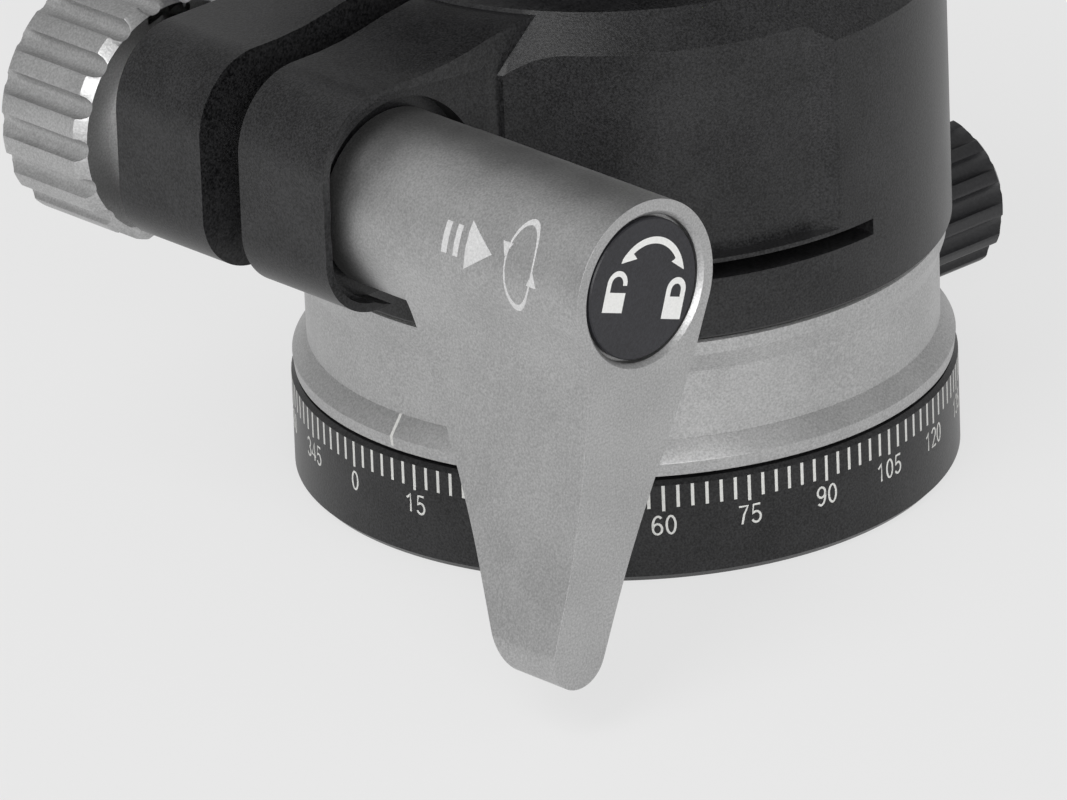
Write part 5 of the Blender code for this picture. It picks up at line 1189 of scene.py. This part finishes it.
# Clamp
# The quick release clamp sits on the neck: a platform with a fixed jaw, and a moving jaw that runs on
# two pins. Both are milled from aluminium, blasted and dyed black, and their edges are chamfered by the
# mill.
CLAMP_HALF_LENGTH = 25.0 * MM
CLAMP_NEAR_SIDE = -24.0 * MM
CLAMP_FAR_SIDE = 27.0 * MM
CLAMP_BOTTOM = 71.1 * MM
CLAMP_FLOOR = 78.3 * MM
CLAMP_TOP = 81.5 * MM
CLAMP_CORNER = 6.0 * MM
CLAMP_AXIS = 74.5 * MM
DOVETAIL_HALF = 19.0 * MM
DOVETAIL_SLOPE = 1.8 * MM
DOVETAIL_LIP = 0.6 * MM
CLAMP_PLAY = 0.3 * MM
CLAMP_EDGE_BREAK = 0.35 * MM
STEM_HEAD_ROOM = 5.3 * MM
STEM_HEAD_FLOOR = 73.5 * MM
STEM_HOLE = 3.2 * MM
PIN_PLACE = 17.0 * MM
PIN_HOLE = 1.7 * MM
PIN_HOLE_END = 9.7 * MM
CLAMP_SCREW_HOLE = 2.7 * MM
CLAMP_SCREW_END = 7.7 * MM
GROOVE_HALF_LENGTH = 19.7 * MM
GROOVE_MIDDLE = -11.0 * MM
GROOVE_HALF_WIDTH = 1.7 * MM
GROOVE_DEPTH = 2.0 * MM
VIAL_PLACE = (0, -22.95 * MM, CLAMP_AXIS)
VIAL_ROOM = 2.4 * MM
VIAL_ROOM_HALF = 6.8 * MM


def rounded(low, high, corner):
    """Outline of a box seen from above, with round corners."""
    quarter = math.pi / 2
    corners = [(high[0] - corner, high[1] - corner), (low[0] + corner, high[1] - corner),
               (low[0] + corner, low[1] + corner), (high[0] - corner, low[1] + corner)]
    points = []
    for number, centre in enumerate(corners):
        points += arc(centre, corner, number * quarter, (number + 1) * quarter, 12)
    return points


def clamp_plan():
    """The clamp's plan with its round corners, taller than the clamp."""
    plan = rounded((-CLAMP_HALF_LENGTH, CLAMP_NEAR_SIDE), (CLAMP_HALF_LENGTH, CLAMP_FAR_SIDE), CLAMP_CORNER)
    return outlined("clamp_plan", plan, CLAMP_BOTTOM - PAST, CLAMP_TOP + PAST)


lip = DOVETAIL_HALF - DOVETAIL_SLOPE
slope_foot = CLAMP_FLOOR + DOVETAIL_LIP
platform = end_view("clamp_platform", [
    (CLAMP_NEAR_SIDE, CLAMP_BOTTOM),
    (DOVETAIL_HALF - CLAMP_PLAY, CLAMP_BOTTOM),
    (DOVETAIL_HALF - CLAMP_PLAY, CLAMP_FLOOR),
    (-DOVETAIL_HALF, CLAMP_FLOOR),
    (-DOVETAIL_HALF, slope_foot),
    (-lip, slope_foot + DOVETAIL_SLOPE),
    (-lip, CLAMP_TOP),
    (CLAMP_NEAR_SIDE, CLAMP_TOP),
], CLAMP_HALF_LENGTH)
cut(platform, clamp_plan(), "INTERSECT")
cut(platform, lathe("stem_hole", [
    (STEM_HEAD_ROOM, CLAMP_FLOOR + PAST),
    (STEM_HEAD_ROOM, STEM_HEAD_FLOOR),
    (STEM_HOLE, STEM_HEAD_FLOOR),
    (STEM_HOLE, CLAMP_BOTTOM - PAST),
], 64))
for x in (-PIN_PLACE, PIN_PLACE):
    cut(platform, laid(rod("pin_hole", PIN_HOLE, PIN_HOLE_END, CLAMP_FAR_SIDE, 32), "Y", (x, 0, CLAMP_AXIS)))
screw_room = rod("screw_hole", CLAMP_SCREW_HOLE, CLAMP_SCREW_END, CLAMP_FAR_SIDE, 48)
cut(platform, laid(screw_room, "Y", (0, 0, CLAMP_AXIS)))
groove = [(-GROOVE_HALF_LENGTH, GROOVE_MIDDLE - GROOVE_HALF_WIDTH),
          (GROOVE_HALF_LENGTH, GROOVE_MIDDLE - GROOVE_HALF_WIDTH),
          (GROOVE_HALF_LENGTH, GROOVE_MIDDLE + GROOVE_HALF_WIDTH),
          (-GROOVE_HALF_LENGTH, GROOVE_MIDDLE + GROOVE_HALF_WIDTH)]
cut(platform, outlined("stop_groove", groove, CLAMP_FLOOR - GROOVE_DEPTH, CLAMP_FLOOR + PAST))
cut(platform, laid(rod("vial_room", VIAL_ROOM, -VIAL_ROOM_HALF, VIAL_ROOM_HALF, 48), "X", VIAL_PLACE))
broken_edges(platform, CLAMP_EDGE_BREAK)
platform.data.materials.append(anodised_black)
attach(platform, "platform")
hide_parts("clamp_body")

jaw = end_view("clamp_jaw", [
    (DOVETAIL_HALF, CLAMP_BOTTOM),
    (CLAMP_FAR_SIDE, CLAMP_BOTTOM),
    (CLAMP_FAR_SIDE, CLAMP_TOP),
    (lip, CLAMP_TOP),
    (lip, slope_foot + DOVETAIL_SLOPE),
    (DOVETAIL_HALF, slope_foot),
], CLAMP_HALF_LENGTH)
cut(jaw, clamp_plan(), "INTERSECT")
for x in (-PIN_PLACE, PIN_PLACE):
    hole = rod("jaw_pin_hole", PIN_HOLE, DOVETAIL_HALF - PAST, CLAMP_FAR_SIDE + PAST, 32)
    cut(jaw, laid(hole, "Y", (x, 0, CLAMP_AXIS)))
screw_room = rod("jaw_screw_hole", CLAMP_SCREW_HOLE, DOVETAIL_HALF - PAST, CLAMP_FAR_SIDE + PAST, 48)
cut(jaw, laid(screw_room, "Y", (0, 0, CLAMP_AXIS)))
broken_edges(jaw, CLAMP_EDGE_BREAK)
jaw.data.materials.append(anodised_black)
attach(jaw, "jaw")
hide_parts("moving_jaw")

# Its knob is turned and fluted from aluminium like the friction knob.
CLAMP_KNOB_RADIUS = 8.5 * MM
CLAMP_KNOB_START = 27.3 * MM
CLAMP_KNOB_END = 40.3 * MM
CLAMP_KNOB_FLUTES = 16
CLAMP_KNOB_ROOM_END = 36.6 * MM
CLAMP_DIMPLE_RADIUS = 5.6 * MM
clamp_knob = fluted_knob("silver_clamp_knob", CLAMP_KNOB_RADIUS, FLUTE_RADIUS, CLAMP_KNOB_FLUTES,
                         CLAMP_KNOB_START, CLAMP_KNOB_END, CLAMP_DIMPLE_RADIUS)
room = rod("clamp_screw_room", CLAMP_SCREW_HOLE, CLAMP_KNOB_START - PAST, CLAMP_KNOB_ROOM_END, 48)
cut(clamp_knob, room)
broken_edges(clamp_knob, KNOB_EDGE_BREAK)
clamp_knob = laid(clamp_knob, "Y", (0, 0, CLAMP_AXIS))
clamp_knob.data.materials.append(anodised_grey)
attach(clamp_knob, "clamp_knob")
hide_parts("clamp_knob")


# Spirit level
# The level is a closed glass tube, nearly full of a yellow-green spirit with a bubble left in it, and
# two black rings painted round it. It is glued into its pocket in the fixed jaw.
VIAL_RADIUS = 2.1 * MM
VIAL_HALF = 6.5 * MM
VIAL_ROUND = 0.7 * MM
SPIRIT_RADIUS = 1.7 * MM
SPIRIT_HALF = 5.9 * MM
BUBBLE_HALF = 1.7 * MM
BUBBLE_RADIUS = 0.75 * MM
BUBBLE_RISE = 0.98 * MM
VIAL_RING_PLACE = 2.3 * MM
VIAL_RING_HALF = 0.16 * MM
VIAL_RING_DEPTH = 0.03 * MM


def tube_profile(radius, half, corner):
    """Profile of a closed tube with round ends."""
    points = arc((radius - corner, -half + corner), corner, -math.pi / 2, 0, 6)
    return points + arc((radius - corner, half - corner), corner, 0, math.pi / 2, 6)


vial = laid(lathe("vial_glass", tube_profile(VIAL_RADIUS, VIAL_HALF, VIAL_ROUND), 64), "X", VIAL_PLACE)
round_off(vial, 30)
vial_glass, tree = new_material("drawn_vial_glass")
waves = texture(tree, VIAL_RADIUS, 1.0)
drawn = add_node(tree, "ShaderNodeBump", {"Strength": 0.1, "Distance": GRAIN_DEPTH},
                 {"Height": waves.outputs["Fac"]})
surfaced(tree, {"Base Color": linear("f4f8f0"), "Roughness": 0.03, "IOR": 1.5, "Transmission Weight": 1.0},
         {"Normal": drawn.outputs["Normal"]})
vial.data.materials.append(vial_glass)
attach(vial, "platform")
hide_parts("level_vial")
spirit = lathe("vial_spirit", tube_profile(SPIRIT_RADIUS, SPIRIT_HALF, VIAL_ROUND), 48)
spirit = laid(spirit, "X", VIAL_PLACE)
round_off(spirit, 30)
spirit.data.materials.append(moulded("dyed_spirit", "a8c832", "c2dc4c", 0.15, VIAL_RADIUS, GRAIN_DEPTH / 8))
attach(spirit, "platform")
pick_nothing()
bpy.ops.mesh.primitive_uv_sphere_add(segments=32, ring_count=16, radius=BUBBLE_RADIUS, location=(0, 0, 0))
bubble = bpy.context.active_object
bubble.name = "vial_bubble"
bubble.scale = (BUBBLE_HALF / BUBBLE_RADIUS, 1, 1)
bubble.location = (VIAL_PLACE[0], VIAL_PLACE[1], VIAL_PLACE[2] + BUBBLE_RISE)
settle(bubble)
round_off(bubble, 60)
bubble.data.materials.append(moulded("air_bubble", "e4ecc8", "eef4da", 0.1, VIAL_RADIUS, GRAIN_DEPTH / 8))
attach(bubble, "platform")
rings = []
for x in (-VIAL_RING_PLACE, VIAL_RING_PLACE):
    band = lathe("vial_ring", [
        (VIAL_RADIUS - VIAL_RING_DEPTH, x - VIAL_RING_HALF),
        (VIAL_RADIUS + VIAL_RING_DEPTH, x - VIAL_RING_HALF),
        (VIAL_RADIUS + VIAL_RING_DEPTH, x + VIAL_RING_HALF),
        (VIAL_RADIUS - VIAL_RING_DEPTH, x + VIAL_RING_HALF),
        (VIAL_RADIUS - VIAL_RING_DEPTH, x - VIAL_RING_HALF),
    ], 64)
    rings.append(laid(band, "X", VIAL_PLACE))
rings = joined("vial_rings", rings)
round_off(rings, 30)
rings.data.materials.append(moulded_black)
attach(rings, "platform")


# Camera plate
# The plate that stays on the camera is milled from aluminium, with a dovetail foot and a recess for its
# ribbed rubber pad, which is moulded and glued in.
PLATE_BOTTOM = 78.6 * MM
PLATE_FOOT_HALF = 18.7 * MM
PLATE_NECK_HALF = 16.5 * MM
PLATE_DECK_BOTTOM = 82.2 * MM
PLATE_DECK_HALF = 19.5 * MM
PLATE_TOP = 86.4 * MM
PLATE_CORNER = 3.0 * MM
PLATE_EDGE_BREAK = 0.28 * MM
PAD_ROOM = (22.8 * MM, 17.3 * MM)
PAD_FLOOR = 85.8 * MM
WELL_RADIUS = 7.1 * MM
WELL_TOP = 82.5 * MM
SCREW_ROOM = 3.4 * MM
STOP_PLACE = 13.0 * MM
STOP_ROOM = 1.7 * MM
STOP_ROOM_TOP = 81.9 * MM
foot_top = PLATE_BOTTOM + DOVETAIL_LIP / 2
half_plate = [
    (PLATE_FOOT_HALF, PLATE_BOTTOM),
    (PLATE_FOOT_HALF, foot_top),
    (PLATE_NECK_HALF, foot_top + PLATE_FOOT_HALF - PLATE_NECK_HALF),
    (PLATE_NECK_HALF, PLATE_DECK_BOTTOM),
    (PLATE_DECK_HALF, PLATE_DECK_BOTTOM),
    (PLATE_DECK_HALF, PLATE_TOP),
]
plate_ends = half_plate + [(-y, z) for y, z in reversed(half_plate)]
plate = end_view("dovetail_plate", plate_ends, CLAMP_HALF_LENGTH)
plan = rounded((-CLAMP_HALF_LENGTH, -PLATE_DECK_HALF), (CLAMP_HALF_LENGTH, PLATE_DECK_HALF), PLATE_CORNER)
cut(plate, outlined("plate_plan", plan, PLATE_BOTTOM - PAST, PLATE_TOP + PAST), "INTERSECT")
pad_plan = rounded((-PAD_ROOM[0], -PAD_ROOM[1]), PAD_ROOM, PLATE_CORNER)
cut(plate, outlined("pad_room", pad_plan, PAD_FLOOR, PLATE_TOP + PAST))
cut(plate, lathe("screw_well", [
    (SCREW_ROOM, PLATE_TOP + PAST),
    (SCREW_ROOM, WELL_TOP),
    (WELL_RADIUS, WELL_TOP),
    (WELL_RADIUS, PLATE_BOTTOM - PAST),
], 96))
for x in (-STOP_PLACE, STOP_PLACE):
    stop_hole = rod("stop_hole", STOP_ROOM, PLATE_BOTTOM - PAST, STOP_ROOM_TOP, 32)
    stop_hole.location = (x, GROOVE_MIDDLE, 0)
    settle(stop_hole)
    cut(plate, stop_hole)
broken_edges(plate, PLATE_EDGE_BREAK)
plate.data.materials.append(anodised_black)
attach(plate, "plate")
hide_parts("camera_plate")

PAD_HALF = (22.5 * MM, 17.0 * MM)
PAD_BOTTOM = 86.1 * MM
PAD_TOP = 87.3 * MM
PAD_CORNER = 2.7 * MM
PAD_RIBS = 9
PAD_GROOVE_SHARE = 1 / 3
GROOVE_END_SHARE = 0.9
PAD_GROOVE_DEPTH = 0.4 * MM
PAD_RIM = 2.2 * MM
PAD_EDGE_BREAK = 0.16 * MM
pad_plan = rounded((-PAD_HALF[0], -PAD_HALF[1]), PAD_HALF, PAD_CORNER)
pad = outlined("ribbed_pad", pad_plan, PAD_BOTTOM, PAD_TOP)
pitch = 2 * PAD_HALF[0] / PAD_RIBS
half_groove = pitch * PAD_GROOVE_SHARE / 2
for number in range(1, PAD_RIBS):
    x = -PAD_HALF[0] + number * pitch
    groove = rounded((x - half_groove, PAD_RIM - PAD_HALF[1]), (x + half_groove, PAD_HALF[1] - PAD_RIM),
                     half_groove * GROOVE_END_SHARE)
    cut(pad, outlined("pad_groove", groove, PAD_TOP - PAD_GROOVE_DEPTH, PAD_TOP + PAST))
cut(pad, rod("pad_hole", SCREW_ROOM, PAD_BOTTOM - PAST, PAD_TOP + PAST, 64))
broken_edges(pad, PAD_EDGE_BREAK)
RUBBER_GRAIN = 0.35 * MM
RUBBER_DEPTH = 0.06 * MM
rubber = moulded("moulded_black_rubber", "1a1a1a", "262626", 0.82, RUBBER_GRAIN, RUBBER_DEPTH)
pad.data.materials.append(rubber)
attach(pad, "plate")
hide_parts("plate_pad")

# The camera screw is turned from stainless steel, with a quarter inch thread and a slot for a coin.
CAMERA_SCREW_RADIUS = 3.1 * MM
CAMERA_SCREW_CORE = 2.55 * MM
CAMERA_SCREW_PITCH = 1.27 * MM
CAMERA_SCREW_TIP = 92.5 * MM
CAMERA_SCREW_LEAD = 0.6 * MM
SCREW_HEAD_RADIUS = 6.8 * MM
SCREW_HEAD_BOTTOM = 78.9 * MM
SCREW_HEAD_TOP = 81.3 * MM
SCREW_SHANK_TOP = 82.6 * MM
SCREW_EDGE = 0.3 * MM
COIN_SLOT_HALF = 0.7 * MM
COIN_SLOT_DEPTH = 1.2 * MM
screw = lathe("camera_screw_turned", [
    (SCREW_HEAD_RADIUS - SCREW_EDGE, SCREW_HEAD_BOTTOM),
    (SCREW_HEAD_RADIUS, SCREW_HEAD_BOTTOM + SCREW_EDGE),
    (SCREW_HEAD_RADIUS, SCREW_HEAD_TOP - SCREW_EDGE),
    (SCREW_HEAD_RADIUS - SCREW_EDGE, SCREW_HEAD_TOP),
    (CAMERA_SCREW_RADIUS, SCREW_HEAD_TOP),
    (CAMERA_SCREW_RADIUS, SCREW_SHANK_TOP),
] + thread(CAMERA_SCREW_RADIUS, CAMERA_SCREW_CORE, SCREW_SHANK_TOP, CAMERA_SCREW_TIP - CAMERA_SCREW_LEAD,
           CAMERA_SCREW_PITCH) + [(CAMERA_SCREW_CORE - CAMERA_SCREW_LEAD, CAMERA_SCREW_TIP)], 64)
reach = SCREW_HEAD_RADIUS + JUST_PAST
slot_plan = [(-reach, -COIN_SLOT_HALF), (reach, -COIN_SLOT_HALF),
             (reach, COIN_SLOT_HALF), (-reach, COIN_SLOT_HALF)]
slot_floor = SCREW_HEAD_BOTTOM + COIN_SLOT_DEPTH
cut(screw, outlined("coin_slot", slot_plan, SCREW_HEAD_BOTTOM - JUST_PAST, slot_floor))
round_off(screw, 25)
screw.data.materials.append(plated_steel)
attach(screw, "camera_screw")
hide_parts("camera_screw")


# Tripod bush
# The bush for the tripod's stud is turned from steel, with a coarse 3/8 inch thread inside, and pressed
# into the base from below.
BUSH_RADIUS = 6.7 * MM
BUSH_BOTTOM = 0.3 * MM
BUSH_TOP = 7.7 * MM
BUSH_CREST = 4.6 * MM
BUSH_ROOT = 5.3 * MM
BUSH_PITCH = 1.59 * MM
bush = lathe("threaded_bush", [
    (BUSH_RADIUS, BUSH_BOTTOM),
    (BUSH_RADIUS, BUSH_TOP),
] + thread(BUSH_CREST, BUSH_ROOT, BUSH_TOP, BUSH_BOTTOM, BUSH_PITCH) + [(BUSH_RADIUS, BUSH_BOTTOM)], 96)
round_off(bush, 25)
bush.data.materials.append(plated_steel)
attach(bush, "base")
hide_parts("tripod_bush")


# Small fasteners and inner pieces
# The screws, washers, springs and pins are bought in: zinc-plated steel, a brass nut, and slip washers,
# seat and brake shoe moulded from plastic. Their shapes are plain and stay as they are.
ACETAL_GRAIN = 0.5 * MM
brass = grained_metal("turned_brass", "b8903f", "d2ac5a", 0.30)
acetal = moulded("moulded_white_acetal", "e2e1dc", "efeeea", 0.40, ACETAL_GRAIN, GRAIN_DEPTH / 2)
kept = {
    plated_steel: ("hub_plate", "hub_screw", "ring_screw_1", "ring_screw_2", "ring_screw_3", "ring_screw_4",
                   "cup_spring", "ear_washer", "far_washer", "stem_screw", "guide_pin_1", "guide_pin_2",
                   "clamp_screw", "stop_screw_1", "stop_screw_2", "screw_clip", "spline_sleeve",
                   "lever_screw", "lever_spring", "pan_screw"),
    brass: ("knob_nut",),
    acetal: ("pan_washer", "top_washer", "ball_cup"),
    moulded_black: ("brake_shoe",),
}
for finish, names in kept.items():
    for name in names:
        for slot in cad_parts[name].material_slots:
            slot.material = finish


# Floor, light and camera
# The object stands on a plain pale floor that runs out to the same tone as the backdrop, under a large
# soft lamp beside the camera, a weaker one higher up, and a sky that is dimmer overhead.
FLOOR_SIZE = 12.0
FLOOR_TONE = "e6e6e6"
GLOW_TONE = "ececec"
SHADOW_SHARE = 0.18


def flat_backdrop(tree, surface):
    """Show the camera and reflections the backdrop's tone, whatever falls on it."""
    paths = add_node(tree, "ShaderNodeLightPath", {}, {})
    seen = add_node(tree, "ShaderNodeMath", {"operation": "MAXIMUM"}, {})
    tree.links.new(paths.outputs["Is Camera Ray"], seen.inputs[0])
    tree.links.new(paths.outputs["Is Glossy Ray"], seen.inputs[1])
    also = add_node(tree, "ShaderNodeMath", {"operation": "MAXIMUM"}, {})
    tree.links.new(seen.outputs["Value"], also.inputs[0])
    tree.links.new(paths.outputs["Is Transmission Ray"], also.inputs[1])
    part = add_node(tree, "ShaderNodeMath", {"operation": "MULTIPLY"}, {})
    tree.links.new(also.outputs["Value"], part.inputs[0])
    part.inputs[1].default_value = surface
    return part.outputs["Value"]


floor_paint, tree = new_material("pale_paper_sweep")
share = flat_backdrop(tree, 1 - SHADOW_SHARE)
matt = add_node(tree, "ShaderNodeBsdfDiffuse", {"Color": linear(FLOOR_TONE)}, {})
glow = add_node(tree, "ShaderNodeEmission", {"Color": linear(GLOW_TONE), "Strength": 1.0}, {})
mixed = tree.nodes.new("ShaderNodeMixShader")
tree.links.new(share, mixed.inputs["Fac"])
tree.links.new(matt.outputs["BSDF"], mixed.inputs[1])
tree.links.new(glow.outputs["Emission"], mixed.inputs[2])
add_node(tree, "ShaderNodeOutputMaterial", {}, {"Surface": mixed.outputs["Shader"]})
pick_nothing()
bpy.ops.mesh.primitive_plane_add(size=FLOOR_SIZE, location=(0, 0, 0))
floor = bpy.context.active_object
floor.name = "floor"
floor.data.materials.append(floor_paint)
floor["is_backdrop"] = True

SKY_LOW = 0.50
SKY_HIGH = 0.24
SKY_FALL = (0.60, 1.0)
world = bpy.data.worlds.new("studio")
bpy.context.scene.world = world
world.use_nodes = True
tree = world.node_tree
tree.nodes.clear()
way = add_node(tree, "ShaderNodeTexCoord", {}, {})
rise = add_node(tree, "ShaderNodeSeparateXYZ", {}, {"Vector": way.outputs["Generated"]})
level = add_node(tree, "ShaderNodeMapRange",
                 {"From Min": SKY_FALL[0], "From Max": SKY_FALL[1], "To Min": SKY_LOW, "To Max": SKY_HIGH},
                 {"Value": rise.outputs["Z"]})
sky = add_node(tree, "ShaderNodeBackground", {"Color": linear("ffffff")},
               {"Strength": level.outputs["Result"]})
drop = add_node(tree, "ShaderNodeBackground", {"Color": linear(FLOOR_TONE), "Strength": 1.0}, {})
paths = add_node(tree, "ShaderNodeLightPath", {}, {})
mixed = tree.nodes.new("ShaderNodeMixShader")
tree.links.new(paths.outputs["Is Camera Ray"], mixed.inputs["Fac"])
tree.links.new(sky.outputs["Background"], mixed.inputs[1])
tree.links.new(drop.outputs["Background"], mixed.inputs[2])
add_node(tree, "ShaderNodeOutputWorld", {}, {"Surface": mixed.outputs["Shader"]})

# Each lamp's power, its size and its place.
LAMPS = {
    "key_lamp": (16.0, 0.9, (-1.05, -1.30, 0.62)),
    "top_lamp": (7.0, 0.7, (-0.85, -0.20, 1.10)),
}
LAMP_TARGET = (0, 0, 0.04)
for name, (power, size, at) in LAMPS.items():
    pick_nothing()
    bpy.ops.object.light_add(type="AREA", location=at)
    lamp = bpy.context.active_object
    lamp.name = name
    lamp.data.energy = power
    lamp.data.size = size
    lamp.rotation_euler = (Vector(LAMP_TARGET) - Vector(at)).to_track_quat("-Z", "Y").to_euler()

CAMERA_PLACE = (-0.882038, -0.935996, 0.555864)
CAMERA_TURN = (66.8029, 1.9866, -43.7798)
CAMERA_LENS = 524.2
SENSOR_WIDTH = 36.0
CLIP_START = 0.1
CLIP_END = 20
bpy.ops.object.camera_add(location=CAMERA_PLACE, rotation=[math.radians(angle) for angle in CAMERA_TURN])
camera = bpy.context.active_object
camera.data.lens = CAMERA_LENS
camera.data.sensor_fit = "HORIZONTAL"
camera.data.sensor_width = SENSOR_WIDTH
camera.data.clip_start = CLIP_START
camera.data.clip_end = CLIP_END
scene = bpy.context.scene
scene.camera = camera
scene.view_settings.view_transform = "Standard"

low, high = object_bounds()
